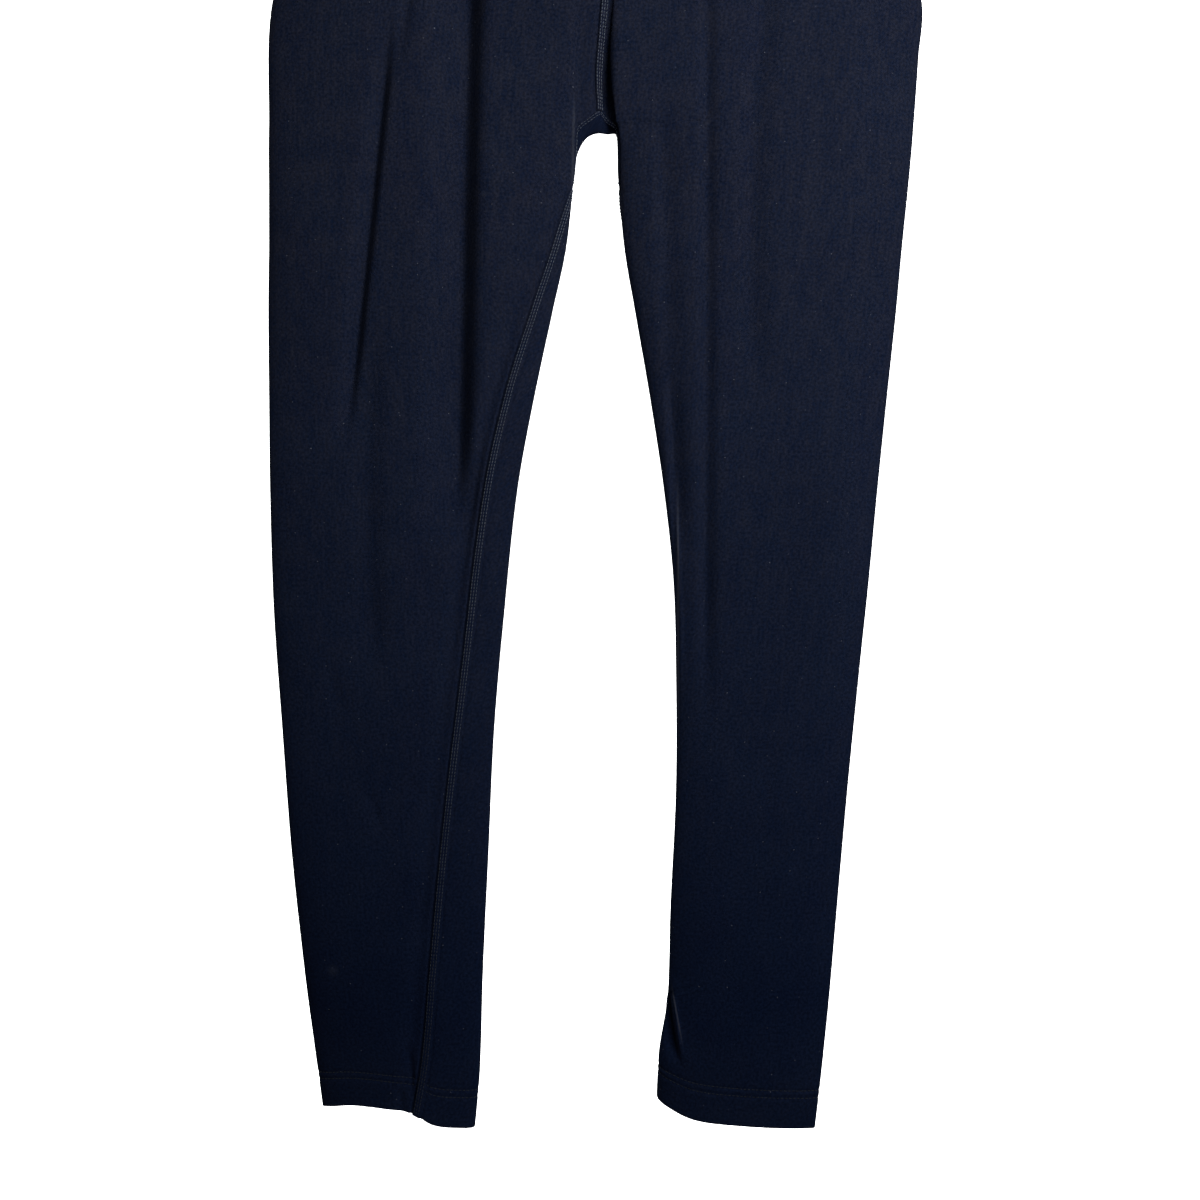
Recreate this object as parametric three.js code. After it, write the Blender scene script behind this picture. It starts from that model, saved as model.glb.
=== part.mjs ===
// Full-length jersey leggings, hanging by the waistband. Millimetres, +Z up, the front faces -Y.
// The origin is the middle of the waistband's top edge, where the garment is held.
// Right and left are the wearer's: the right leg is on the -X side.
import * as THREE from "three";

// Driving sizes of the garment
const HEM_Z = -983; // how far the leg hems hang below the top of the waistband
const BAND_Z = -50; // lower edge of the waistband
const CROTCH_Z = -262; // underside of the crotch, so the inseam is about 720
const CLOTH = 1.2; // thickness of the jersey
const BAND_WALL = 2.6; // the waistband is the jersey doubled over an elastic
const BAND_DRAW = 0.97; // how much narrower the elastic draws its top edge
const BAND_MIDDLE_DRAW = 0.98; // and its middle
const HEM_DEPTH = 28; // height of the turned-up hem
const HEM_WALL = 1; // thickness of the turned-up layer
const GAP = 0.3; // clearance between pieces that are sewn together
const CENTRE_X = 2; // where the front and back rise seams hang
const EDGE_POWER = 0.7; // below 1, the flattened tube's side folds are blunt rather than sharp

// Sizes of the seams
const SEAM_WIDTH = 7; // width of a flatlocked seam
const SEAM_HEIGHT = 0.8; // how far its threads and lapped edges stand up
const SEAM_EDGE = 0.25; // thickness of its outer edges
const SEAM_SLOPE = 0.3; // share of its half width over which it slopes up from them

// Mesh density
const FRONT_STEPS = 15; // steps across the front of a leg panel
const BACK_STEPS = 12; // and across its back
const BAND_AROUND = 26; // steps round each half of the waistband
const RISE_STEP = 25; // greatest heights between sections: above the gusset,
const GUSSET_STEP = 4; // over the gusset's front and back edges,
const THIGH_STEP = 9; // beside the gusset,
const INSEAM_TOP = 40; // over this much of the inseam's top
const INSEAM_TOP_STEP = 8; // by this step,
const LEG_STEP = 40; // down the leg,
const LIFT_STEP = 16; // and where the hem's lift sets in
const TRACE = 420; // points of the fine outline from which each section is drawn
const FOLD_STEP = 1; // least distance from the points under a seam to the panel's next point
const TURN_WEIGHT = 20; // millimetres of length that one radian of bend counts for

// Each leg as a flattened tube, in sections from the waistband to the hem.
// outer, inner: x of its side folds. front, back: how far it bulges each way from its middle plane.
// outerY, innerY: where that plane lies at the side folds, so the tube can turn as it hangs.
const RIGHT_LEG = [
  { z: -50, outer: -196, inner: -8, front: 11, back: 11, outerY: 0, innerY: 0 },
  { z: -100, outer: -214, inner: -13, front: 14, back: 15, outerY: 0, innerY: 1 },
  { z: -164, outer: -240, inner: -17, front: 17, back: 19, outerY: 0, innerY: 1 },
  { z: -262, outer: -243, inner: -17, front: 18, back: 19, outerY: 0, innerY: 0 },
  { z: -304, outer: -243, inner: -20, front: 18, back: 17, outerY: 0, innerY: 0 },
  { z: -348, outer: -243, inner: -25, front: 17, back: 16, outerY: 0, innerY: 0 },
  { z: -392, outer: -243.5, inner: -34.5, front: 16, back: 15, outerY: 0, innerY: 0 },
  { z: -458, outer: -243, inner: -48.5, front: 14, back: 14, outerY: 0, innerY: -1 },
  { z: -524, outer: -242.5, inner: -60.5, front: 13, back: 13, outerY: 1, innerY: -1 },
  { z: -613, outer: -240, inner: -70, front: 12, back: 12, outerY: 2, innerY: -2 },
  { z: -701, outer: -234, inner: -77.5, front: 12, back: 12, outerY: 3, innerY: -3 },
  { z: -789, outer: -227.5, inner: -81.5, front: 12, back: 12, outerY: 4, innerY: -4 },
  { z: -877, outer: -218.5, inner: -85.5, front: 13, back: 12, outerY: 6, innerY: -5 },
  { z: -943, outer: -210.5, inner: -87.5, front: 13, back: 13, outerY: 8, innerY: -6 },
  { z: -983, outer: -205.5, inner: -91, front: 13, back: 13, outerY: 9, innerY: -7 },
];
const LEFT_LEG = [
  { z: -50, outer: 196, inner: 12, front: 11, back: 11, outerY: 0, innerY: 0 },
  { z: -100, outer: 213, inner: 13, front: 14, back: 15, outerY: 0, innerY: 1 },
  { z: -164, outer: 236, inner: 10, front: 17, back: 19, outerY: 0, innerY: 1 },
  { z: -208, outer: 234, inner: 9, front: 18, back: 19, outerY: 0, innerY: 0 },
  { z: -262, outer: 230, inner: 13, front: 19, back: 19, outerY: 0, innerY: 0 },
  { z: -304, outer: 226, inner: 14, front: 19, back: 17, outerY: 0, innerY: 0 },
  { z: -348, outer: 221.5, inner: 18, front: 18, back: 16, outerY: 0, innerY: 0 },
  { z: -392, outer: 217.5, inner: 25.5, front: 17, back: 15, outerY: 0, innerY: 0 },
  { z: -458, outer: 210.5, inner: 37, front: 15, back: 14, outerY: 0, innerY: 1 },
  { z: -524, outer: 203.5, inner: 47, front: 14, back: 13, outerY: -1, innerY: 2 },
  { z: -590, outer: 197, inner: 54, front: 13, back: 12, outerY: -2, innerY: 3 },
  { z: -657, outer: 190, inner: 56, front: 13, back: 12, outerY: -2, innerY: 4 },
  { z: -745, outer: 181, inner: 56, front: 13, back: 12, outerY: -3, innerY: 5 },
  { z: -833, outer: 173, inner: 52, front: 13, back: 12, outerY: -4, innerY: 6 },
  { z: -899, outer: 167, inner: 50, front: 13, back: 13, outerY: -5, innerY: 8 },
  { z: -943, outer: 162, inner: 44, front: 14, back: 14, outerY: -5, innerY: 10 },
  { z: -983, outer: 157, inner: 42, front: 14, back: 14, outerY: -5, innerY: 12 },
];

// Between the thighs the cloth falls back to a floor. front, back: its distance from the middle plane.
const VALLEY = [
  { z: -50, front: 10.5, back: 10.5 },
  { z: -100, front: 13.5, back: 14 },
  { z: -164, front: 15.5, back: 17 },
  { z: -190, front: 13, back: 15 },
  { z: -215, front: 9.5, back: 12 },
  { z: -240, front: 7.5, back: 9.5 },
  { z: -262, front: 6, back: 6.5 },
  { z: -285, front: 2.5, back: 2.5 },
  { z: -305, front: 0, back: 0 },
];

// The inseam: how far in from the inner side fold it runs. It comes round to the front of the right
// leg and to the back of the left one, because both legs have turned the same way.
const RIGHT_INSEAM = [
  { z: -305, inset: 0 },
  { z: -345, inset: 7 },
  { z: -394, inset: 12.5 },
  { z: -457, inset: 18.5 },
  { z: -574, inset: 22.5 },
  { z: -679, inset: 25 },
  { z: -790, inset: 32 },
  { z: -901, inset: 37 },
  { z: -983, inset: 42.5 },
];
const LEFT_INSEAM = [
  { z: -305, inset: 0 },
  { z: -345, inset: 4 },
  { z: -457, inset: 10 },
  { z: -679, inset: 16 },
  { z: -983, inset: 22 },
];

// The gusset is a small diamond under the crotch. Its points lie at these heights.
const GUSSET_FRONT_Z = -249;
const GUSSET_BACK_Z = -245;
const GUSSET_SIDE_Z = -305;
const GUSSET_TURN_Z = -261; // where its seam turns down the inside of the thigh
const GUSSET_ACROSS = 10; // steps across it
const GUSSET_DROP = 0.8; // its front and back edges hang this far below the panels' edges
const GUSSET_CLEAR = 0.45; // how far its side edges stay from the panels, on the inner side fold
const GUSSET_SHORT = 3; // its side points stop this far above the top of the inseams

// The largest folds: soft troughs in a face of a leg, each through three points.
// x0 to x2: where it runs at heights z0 to z2. width: half its breadth. depth: how far it sinks in.
const FOLDS = [
  { leg: "right", face: "front", z0: -60, x0: -124, z1: -280, x1: -161, z2: -500, x2: -181,
    width: 6, depth: 5.5 },
  { leg: "right", face: "front", z0: -60, x0: -94, z1: -330, x1: -98, z2: -570, x2: -96,
    width: 11, depth: 8 },
  { leg: "right", face: "front", z0: -380, x0: -163, z1: -520, x1: -169, z2: -680, x2: -162,
    width: 10, depth: 2.2 },
  { leg: "left", face: "front", z0: -60, x0: 99, z1: -350, x1: 76, z2: -700, x2: 75,
    width: 6, depth: 2.8 },
  { leg: "left", face: "front", z0: -60, x0: 118, z1: -260, x1: 126, z2: -480, x2: 123,
    width: 9, depth: 2.4 },
  { leg: "left", face: "front", z0: -250, x0: 50, z1: -400, x1: 58, z2: -560, x2: 63,
    width: 9, depth: 3 },
  { leg: "right", face: "back", z0: -60, x0: -126, z1: -280, x1: -150, z2: -560, x2: -172,
    width: 9, depth: 5.2 },
  { leg: "right", face: "back", z0: -200, x0: -60, z1: -380, x1: -86, z2: -640, x2: -112,
    width: 10, depth: 4.6 },
  { leg: "left", face: "back", z0: -60, x0: 112, z1: -290, x1: 128, z2: -600, x2: 150,
    width: 10, depth: 5.8 },
  { leg: "left", face: "back", z0: -210, x0: 52, z1: -420, x1: 88, z2: -690, x2: 106,
    width: 9, depth: 4.2 },
];
const FOLD_FADE = 70; // height over which a fold fades in and out
const FOLD_RIM = 0.5; // share of a face's bulge, up from a side fold, over which folds set in

// The hems don't hang level. lift: how far the edge rises at that place round the leg, in turns
// from the inner side fold, by way of the front.
const HEM_LIFT_HEIGHT = 90; // height over which the lift fades out
const RIGHT_HEM = [
  { turn: 0, lift: -6 },
  { turn: 0.1, lift: -5 },
  { turn: 0.17, lift: -3 },
  { turn: 0.22, lift: 5 },
  { turn: 0.33, lift: 8 },
  { turn: 0.42, lift: 5 },
  { turn: 0.5, lift: 3 },
  { turn: 0.75, lift: 1 },
  { turn: 1, lift: -6 },
];
const LEFT_HEM = [
  { turn: 0, lift: 9 },
  { turn: 0.08, lift: 4 },
  { turn: 0.16, lift: -3 },
  { turn: 0.25, lift: -5 },
  { turn: 0.42, lift: -6 },
  { turn: 0.5, lift: -7 },
  { turn: 0.75, lift: -1 },
  { turn: 1, lift: 9 },
];

const RIGHT = { side: "right", rows: RIGHT_LEG, inseam: RIGHT_INSEAM, seamTurn: 1, hem: RIGHT_HEM };
const LEFT = { side: "left", rows: LEFT_LEG, inseam: LEFT_INSEAM, seamTurn: -1, hem: LEFT_HEM };

const FULL_TURN = 2 * Math.PI;
const mix = (a, b, t) => a + (b - a) * t;
const clamp = (v, low, high) => Math.min(high, Math.max(low, v));
const smooth = (t) => t * t * (3 - 2 * t);

// A table's column at a place along its key column, as one smooth curve through the rows
function read(rows, key, column, at) {
  const rising = rows[1][key] > rows[0][key];
  const place = (i) => (rising ? rows[i][key] : -rows[i][key]);
  const where = clamp(rising ? at : -at, place(0), place(rows.length - 1));
  let i = 0;
  while (i < rows.length - 2 && where > place(i + 1)) i += 1;
  const slope = (k) => {
    const before = Math.max(0, k - 1);
    const after = Math.min(rows.length - 1, k + 1);
    return (rows[after][column] - rows[before][column]) / (place(after) - place(before));
  };
  const span = place(i + 1) - place(i);
  const t = (where - place(i)) / span;
  const bend = (1 - t) * slope(i) - t * slope(i + 1);
  const chord = (rows[i + 1][column] - rows[i][column]) / span;
  return mix(rows[i][column], rows[i + 1][column], t) + t * (1 - t) * span * (bend - (1 - 2 * t) * chord);
}

// How far the folds sink into one face of a leg
function foldDepth(side, face, x, z) {
  let depth = 0;
  for (const fold of FOLDS) {
    if (fold.leg !== side || fold.face !== face || z > fold.z0 || z < fold.z2) continue;
    const t = (z - fold.z0) / (fold.z2 - fold.z0);
    const middle = (fold.z1 - fold.z0) / (fold.z2 - fold.z0);
    const bow = (fold.x1 - mix(fold.x0, fold.x2, middle)) / (middle * (1 - middle));
    const line = mix(fold.x0, fold.x2, t) + bow * t * (1 - t);
    const fade = smooth(clamp(Math.min(fold.z0 - z, z - fold.z2) / FOLD_FADE, 0, 1));
    depth += fold.depth * fade * Math.exp(-(((x - line) / fold.width) ** 2));
  }
  return depth;
}

// One section's sizes, read from the tables
function sizesAt(leg, z) {
  const sizes = { z, side: leg.side };
  for (const column of ["outer", "inner", "front", "back", "outerY", "innerY"]) {
    sizes[column] = read(leg.rows, "z", column, z);
  }
  sizes.floor = { front: read(VALLEY, "z", "front", z), back: read(VALLEY, "z", "back", z) };
  return sizes;
}

// A point of a leg's outer surface. place is an angle round the tube: 0 at the inner side fold, a
// quarter turn on the front, half at the outer fold, three quarters on the back. Above the inseam,
// -1 to 0 and one more past the full turn run over the valley floor to the centre seams.
function surfacePoint(sizes, place) {
  const { inner, outer } = sizes;
  const isAboveInseam = sizes.z > GUSSET_SIDE_Z;
  const angle = isAboveInseam ? clamp(place, 0, FULL_TURN) : (place + FULL_TURN) % FULL_TURN;
  const isFront = isAboveInseam ? place < Math.PI : angle < Math.PI;
  const face = isFront ? "front" : "back";
  const ontoFloor = isAboveInseam ? Math.max(0, -place, place - FULL_TURN) : 0;
  const across = (outer + inner) / 2 + ((inner - outer) / 2) * Math.cos(angle);
  const x = mix(across, CENTRE_X, ontoFloor);
  const rise = Math.abs(Math.sin(angle)) ** EDGE_POWER;
  const floor = sizes.floor[face] * ((1 + Math.cos(angle)) / 2) ** 2;
  const sunk = foldDepth(sizes.side, face, x, sizes.z) * smooth(Math.min(1, rise / FOLD_RIM));
  const depth = mix(floor, sizes[face], rise) - sunk;
  const middle = mix(sizes.outerY, sizes.innerY, clamp((x - outer) / (inner - outer), 0, 1));
  return { x, y: isFront ? middle - depth : middle + depth };
}

// Where a leg's seam lies round the tube: the inseam, or the gusset's edge above it
function seamPlace(leg, z, isFront) {
  if (z <= GUSSET_SIDE_Z) {
    const width = Math.abs(read(leg.rows, "z", "outer", z) - read(leg.rows, "z", "inner", z));
    const inset = read(leg.inseam, "z", "inset", z);
    return leg.seamTurn * Math.acos(1 - (2 * inset) / width) + (isFront ? 0 : FULL_TURN);
  }
  const topZ = isFront ? GUSSET_FRONT_Z : GUSSET_BACK_Z;
  const onFloor = clamp((z - GUSSET_TURN_Z) / (topZ - GUSSET_TURN_Z), 0, 1);
  return isFront ? -onFloor : FULL_TURN + onFloor;
}

function hemLift(leg, place, z) {
  const turn = (((place / FULL_TURN) % 1) + 1) % 1;
  const share = smooth(clamp((HEM_Z + HEM_LIFT_HEIGHT - z) / HEM_LIFT_HEIGHT, 0, 1));
  return read(leg.hem, "turn", "lift", turn) * share;
}

// The outline of one section between two places round the tube: fine points, each with its
// distance from the start and its outward normal
function traceSection(leg, z, start, end) {
  const sizes = sizesAt(leg, z);
  const points = [];
  for (let i = 0; i <= TRACE; i += 1) {
    const place = mix(start, end, i / TRACE);
    points.push({ ...surfacePoint(sizes, place), z: z + hemLift(leg, place, z), far: 0 });
  }
  const way = leg.side === "right" ? 1 : -1;
  points.forEach((p, i) => {
    const before = points[Math.max(0, i - 1)];
    const after = points[Math.min(TRACE, i + 1)];
    const length = Math.hypot(after.x - before.x, after.y - before.y);
    p.nx = (-way * (after.y - before.y)) / length;
    p.ny = (way * (after.x - before.x)) / length;
    if (i > 0) p.far = before.far + Math.hypot(p.x - before.x, p.y - before.y);
  });
  return points;
}

// The outline's point at a distance from its start
function pointAt(points, far) {
  const last = points.length - 1;
  const where = clamp(far, 0, points[last].far);
  let low = 0;
  let high = last;
  while (high - low > 1) {
    const half = (low + high) >> 1;
    if (points[half].far <= where) low = half;
    else high = half;
  }
  const t = (where - points[low].far) / (points[high].far - points[low].far);
  return between(points[low], points[high], t);
}

function between(a, b, t) {
  const point = {};
  for (const key of ["x", "y", "z", "nx", "ny"]) point[key] = mix(a[key], b[key], t);
  return point;
}

// Points along an outline from one distance to another, closer together where it bends
function spacedPoints(points, count, from, to) {
  const weight = [0];
  for (let i = 1; i < points.length; i += 1) {
    const a = points[i - 1];
    const b = points[i];
    const turn = Math.acos(clamp(a.nx * b.nx + a.ny * b.ny, -1, 1));
    const isInside = b.far > from && a.far < to;
    weight.push(weight[i - 1] + (isInside ? b.far - a.far + TURN_WEIGHT * turn : 0));
  }
  const all = weight[weight.length - 1];
  const spaced = [];
  let i = 0;
  for (let k = 0; k <= count; k += 1) {
    const goal = (all * k) / count;
    while (i < weight.length - 2 && (weight[i + 1] < goal || points[i + 1].far <= from)) i += 1;
    const t = clamp((goal - weight[i]) / (weight[i + 1] - weight[i]), 0, 1);
    spaced.push(pointAt(points, clamp(mix(points[i].far, points[i + 1].far, t), from, to)));
  }
  return spaced;
}

// A leg panel's section. Its first two points and its last two lie under the seam that joins them,
// the third from each end is where the valley floor meets the thigh, and the rest run from side
// fold to side fold.
function panelSection(leg, z) {
  const start = seamPlace(leg, z, true);
  const end = seamPlace(leg, z, false);
  const outline = traceSection(leg, z, start, end);
  const farOf = (place) => outline[Math.round((TRACE * (place - start)) / (end - start))].far;
  const total = outline[TRACE].far;
  const underSeam = SEAM_WIDTH / 2;
  const foldPlace = z > GUSSET_SIDE_Z ? 0 : start;
  const [frontFold, backFold] = [farOf(foldPlace), total - farOf(start + end - foldPlace)];
  const main = underSeam + 2 * FOLD_STEP;
  return [
    pointAt(outline, GAP / 2),
    pointAt(outline, underSeam),
    pointAt(outline, Math.max(frontFold, underSeam + FOLD_STEP)),
    ...spacedPoints(outline, FRONT_STEPS, frontFold + main, farOf(Math.PI)),
    ...spacedPoints(outline, BACK_STEPS, farOf(Math.PI), total - backFold - main).slice(1),
    pointAt(outline, total - Math.max(backFold, underSeam + FOLD_STEP)),
    pointAt(outline, total - underSeam),
    pointAt(outline, total - GAP / 2),
  ];
}

// A point moved along its outward normal, which lies in the section's plane
const moved = (p, out) => [p.x + p.nx * out, p.y + p.ny * out, p.z];

// Six times the volume inside a mesh, below zero when its faces point inwards
function signedVolume(positions, index) {
  const corner = (i) => new THREE.Vector3(...positions.slice(3 * index[i], 3 * index[i] + 3));
  let volume = 0;
  for (let i = 0; i < index.length; i += 3) {
    volume += corner(i).dot(corner(i + 1).cross(corner(i + 2)));
  }
  return volume;
}

// A closed solid between two matching grids of points
function wall(outerGrid, innerGrid, isRing) {
  const rows = outerGrid.length;
  const columns = outerGrid[0].length;
  const positions = [...outerGrid.flat(), ...innerGrid.flat()].flat();
  const outer = (i, j) => i * columns + (j % columns);
  const inner = (i, j) => rows * columns + outer(i, j);
  const index = [];
  const quad = (a, b, c, d) => index.push(a, b, c, a, c, d);
  const steps = isRing ? columns : columns - 1;
  for (let i = 0; i < rows - 1; i += 1) {
    for (let j = 0; j < steps; j += 1) {
      quad(outer(i, j), outer(i + 1, j), outer(i + 1, j + 1), outer(i, j + 1));
      quad(inner(i, j), inner(i, j + 1), inner(i + 1, j + 1), inner(i + 1, j));
    }
  }
  for (let j = 0; j < steps; j += 1) {
    const end = rows - 1;
    quad(outer(0, j), outer(0, j + 1), inner(0, j + 1), inner(0, j));
    quad(outer(end, j + 1), outer(end, j), inner(end, j), inner(end, j + 1));
  }
  for (let i = 0; i < rows - 1 && !isRing; i += 1) {
    const end = columns - 1;
    quad(outer(i + 1, 0), outer(i, 0), inner(i, 0), inner(i + 1, 0));
    quad(outer(i, end), outer(i + 1, end), inner(i + 1, end), inner(i, end));
  }
  if (signedVolume(positions, index) < 0) index.reverse();
  const geometry = new THREE.BufferGeometry();
  geometry.setAttribute("position", new THREE.Float32BufferAttribute(positions, 3));
  geometry.setIndex(index);
  return geometry;
}

// Heights from one level down to another, evenly spaced and no further apart than a step
function levels(from, to, step) {
  const count = Math.ceil((from - to) / step);
  return Array.from({ length: count }, (_, i) => mix(from, to, i / count));
}

const RISE_LEVELS = levels(BAND_Z - GAP, GUSSET_BACK_Z, RISE_STEP);
const GUSSET_LEVELS = [
  ...levels(GUSSET_BACK_Z, GUSSET_TURN_Z, GUSSET_STEP),
  ...levels(GUSSET_TURN_Z, GUSSET_SIDE_Z, THIGH_STEP),
];
const HEM_LEVELS = [HEM_Z + HEM_DEPTH, HEM_Z + HEM_DEPTH / 2, HEM_Z];
const LEG_LEVELS = [
  ...levels(GUSSET_SIDE_Z, GUSSET_SIDE_Z - INSEAM_TOP, INSEAM_TOP_STEP),
  ...levels(GUSSET_SIDE_Z - INSEAM_TOP, HEM_Z + HEM_LIFT_HEIGHT, LEG_STEP),
  ...levels(HEM_Z + HEM_LIFT_HEIGHT, HEM_LEVELS[0], LIFT_STEP),
  ...HEM_LEVELS,
];

// One piece of cloth for each leg: from the front rise seam and the inseam, round the outside of the
// leg, to the back rise seam and the inseam again
function legPanel(leg) {
  const sections = [...RISE_LEVELS, ...GUSSET_LEVELS, ...LEG_LEVELS].map((z) => panelSection(leg, z));
  return wall(
    sections.map((row) => row.map((p) => moved(p, 0))),
    sections.map((row) => row.map((p) => moved(p, -CLOTH))),
    false,
  );
}

// The turned-up layer inside each leg's lower edge
function hemLayer(leg) {
  const outside = -CLOTH - GAP;
  const sections = HEM_LEVELS.map((z) => panelSection(leg, z));
  return wall(
    sections.map((row) => row.map((p) => moved(p, outside))),
    sections.map((row) => row.map((p) => moved(p, outside - HEM_WALL))),
    false,
  );
}

// The waistband: both halves of the body's outline joined into one ring
function waistband() {
  const ring = (z, narrowing) => {
    const halves = [RIGHT, LEFT].map((leg) => {
      const outline = traceSection(leg, BAND_Z, -1, FULL_TURN + 1);
      return spacedPoints(outline, BAND_AROUND, 0, outline[TRACE].far);
    });
    const points = [...halves[0].slice(0, -1), ...halves[1].reverse().slice(0, -1)];
    return points.map((p) => ({ ...p, x: p.x * narrowing, z }));
  };
  const rows = [ring(0, BAND_DRAW), ring(BAND_Z / 2, BAND_MIDDLE_DRAW), ring(BAND_Z, 1)];
  const outside = (BAND_WALL - CLOTH) / 2;
  return wall(
    rows.map((row) => row.map((p) => moved(p, outside))),
    rows.map((row) => row.map((p) => moved(p, outside - BAND_WALL))),
    true,
  );
}

// A flatlocked seam: a low raised tape over two panel edges. Each row of four points is the panel's
// own: the two edges in the middle, and half the seam's width away from them on either side.
function seamTape(rows) {
  const low = GAP + SEAM_EDGE;
  const high = GAP + SEAM_HEIGHT;
  const outerGrid = rows.map(([a, b, c, d]) => [
    moved(a, low),
    moved(between(a, b, SEAM_SLOPE), high),
    moved(between(d, c, SEAM_SLOPE), high),
    moved(d, low),
  ]);
  const innerGrid = rows.map((row) => row.map((p) => moved(p, GAP)));
  return wall(outerGrid, innerGrid, false);
}

function inseam(leg) {
  const rows = LEG_LEVELS.map((z) => {
    const section = panelSection(leg, z);
    const last = section.length - 1;
    return [section[last - 1], section[last], section[0], section[1]];
  });
  return seamTape(rows);
}

// The rise seams run down the valley floor from the waistband to the gusset
function riseSeam(isFront) {
  const lowest = isFront ? GUSSET_FRONT_Z : GUSSET_BACK_Z;
  const heights = [...RISE_LEVELS, ...GUSSET_LEVELS].filter((z) => z >= lowest);
  const rows = heights.map((z) => {
    const [right, left] = [RIGHT, LEFT].map((leg) => {
      const section = panelSection(leg, z);
      return isFront ? section : section.reverse();
    });
    return [right[1], right[0], left[0], left[1]];
  });
  return seamTape(rows);
}

// The gusset: a saddle with four sides. Two of them hang from the panels' edges, at the front and at
// the back. The other two run down the insides of the thighs to a point, and up again.
function gusset() {
  const sideLevels = GUSSET_LEVELS.filter((z) => z < GUSSET_TURN_Z);
  const sideTip = GUSSET_SIDE_Z + GUSSET_SHORT;
  const path = [
    ...[GUSSET_TURN_Z - GUSSET_DROP, ...sideLevels].map((z) => ({ z, way: -1 })),
    { z: sideTip, way: 0 },
    ...[...sideLevels.reverse(), GUSSET_TURN_Z - GUSSET_DROP].map((z) => ({ z, way: 1 })),
  ];
  const hangingEdge = (leg, share, isFront) => {
    const z = mix(isFront ? GUSSET_FRONT_Z : GUSSET_BACK_Z, GUSSET_TURN_Z, share);
    const p = surfacePoint(sizesAt(leg, z), isFront ? share - 1 : FULL_TURN + 1 - share);
    return { x: p.x, y: p.y, z: z - GUSSET_DROP };
  };
  const grid = path.map(({ z, way }, i) =>
    Array.from({ length: GUSSET_ACROSS + 1 }, (_, j) => {
      const angle = (Math.PI * j) / GUSSET_ACROSS;
      const leg = 2 * j < GUSSET_ACROSS ? RIGHT : LEFT;
      const share = Math.abs(Math.cos(angle));
      const sizes = sizesAt(leg, z);
      const v = i / (path.length - 1);
      const front = hangingEdge(leg, share, true);
      const back = hangingEdge(leg, share, false);
      const sideness = 1 - Math.sin(angle);
      const sideY = way * Math.max(0, sizes.floor[way < 0 ? "front" : "back"] - GUSSET_CLEAR);
      const level = mix(front.z, back.z, v);
      const sag = (mix(front.z, back.z, 0.5) - CROTCH_Z) * 4 * v * (1 - v);
      const fall = z - GUSSET_TURN_Z + GUSSET_DROP;
      const sideX = mix(CENTRE_X, sizes.inner, share);
      return new THREE.Vector3(
        mix(mix(front.x, back.x, v), sideX, 4 * v * (1 - v)),
        mix(mix(front.y, back.y, v), sideY, sideness),
        level - sag * (1 - sideness) + fall * sideness,
      );
    }),
  );
  return saddleWall(grid);
}

// A wall whose outer face is a grid of points, thickened along the surface's own normals
function saddleWall(grid) {
  const lastRow = grid.length - 1;
  const lastColumn = grid[0].length - 1;
  const inwards = (i, j) => {
    const along = grid[Math.min(lastRow, i + 1)][j].clone().sub(grid[Math.max(0, i - 1)][j]);
    const across = grid[i][Math.min(lastColumn, j + 1)].clone().sub(grid[i][Math.max(0, j - 1)]);
    return across.cross(along).normalize();
  };
  const innerGrid = grid.map((row, i) =>
    row.map((p, j) => p.clone().addScaledVector(inwards(i, j), CLOTH).toArray()),
  );
  return wall(grid.map((row) => row.map((p) => p.toArray())), innerGrid, false);
}

const JERSEY = { color: 0x181c28, roughness: 0.92, metalness: 0 };
const THREAD = { color: 0x30343a, roughness: 0.7, metalness: 0 };

function piece(name, geometry, finish) {
  const mesh = new THREE.Mesh(geometry, new THREE.MeshStandardMaterial(finish));
  mesh.name = name;
  return mesh;
}

const leggings = new THREE.Group();
leggings.name = "leggings";
leggings.add(piece("waistband", waistband(), JERSEY));
leggings.add(piece("right_leg", legPanel(RIGHT), JERSEY));
leggings.add(piece("left_leg", legPanel(LEFT), JERSEY));
leggings.add(piece("gusset", gusset(), JERSEY));
leggings.add(piece("right_hem", hemLayer(RIGHT), JERSEY));
leggings.add(piece("left_hem", hemLayer(LEFT), JERSEY));
leggings.add(piece("right_inseam", inseam(RIGHT), THREAD));
leggings.add(piece("left_inseam", inseam(LEFT), THREAD));
leggings.add(piece("front_rise_seam", riseSeam(true), THREAD));
leggings.add(piece("back_rise_seam", riseSeam(false), THREAD));

export default leggings;
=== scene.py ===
"""Full-length jersey leggings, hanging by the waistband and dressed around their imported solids.

Metres, +Z up, the front faces -Y. The origin is the middle of the waistband's top edge. Right and
left are the wearer's: the right leg is on the -X side. The tables below are in millimetres and hold
the same sizes as the solids, with the finer creases added.
"""

from collections import namedtuple

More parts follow.
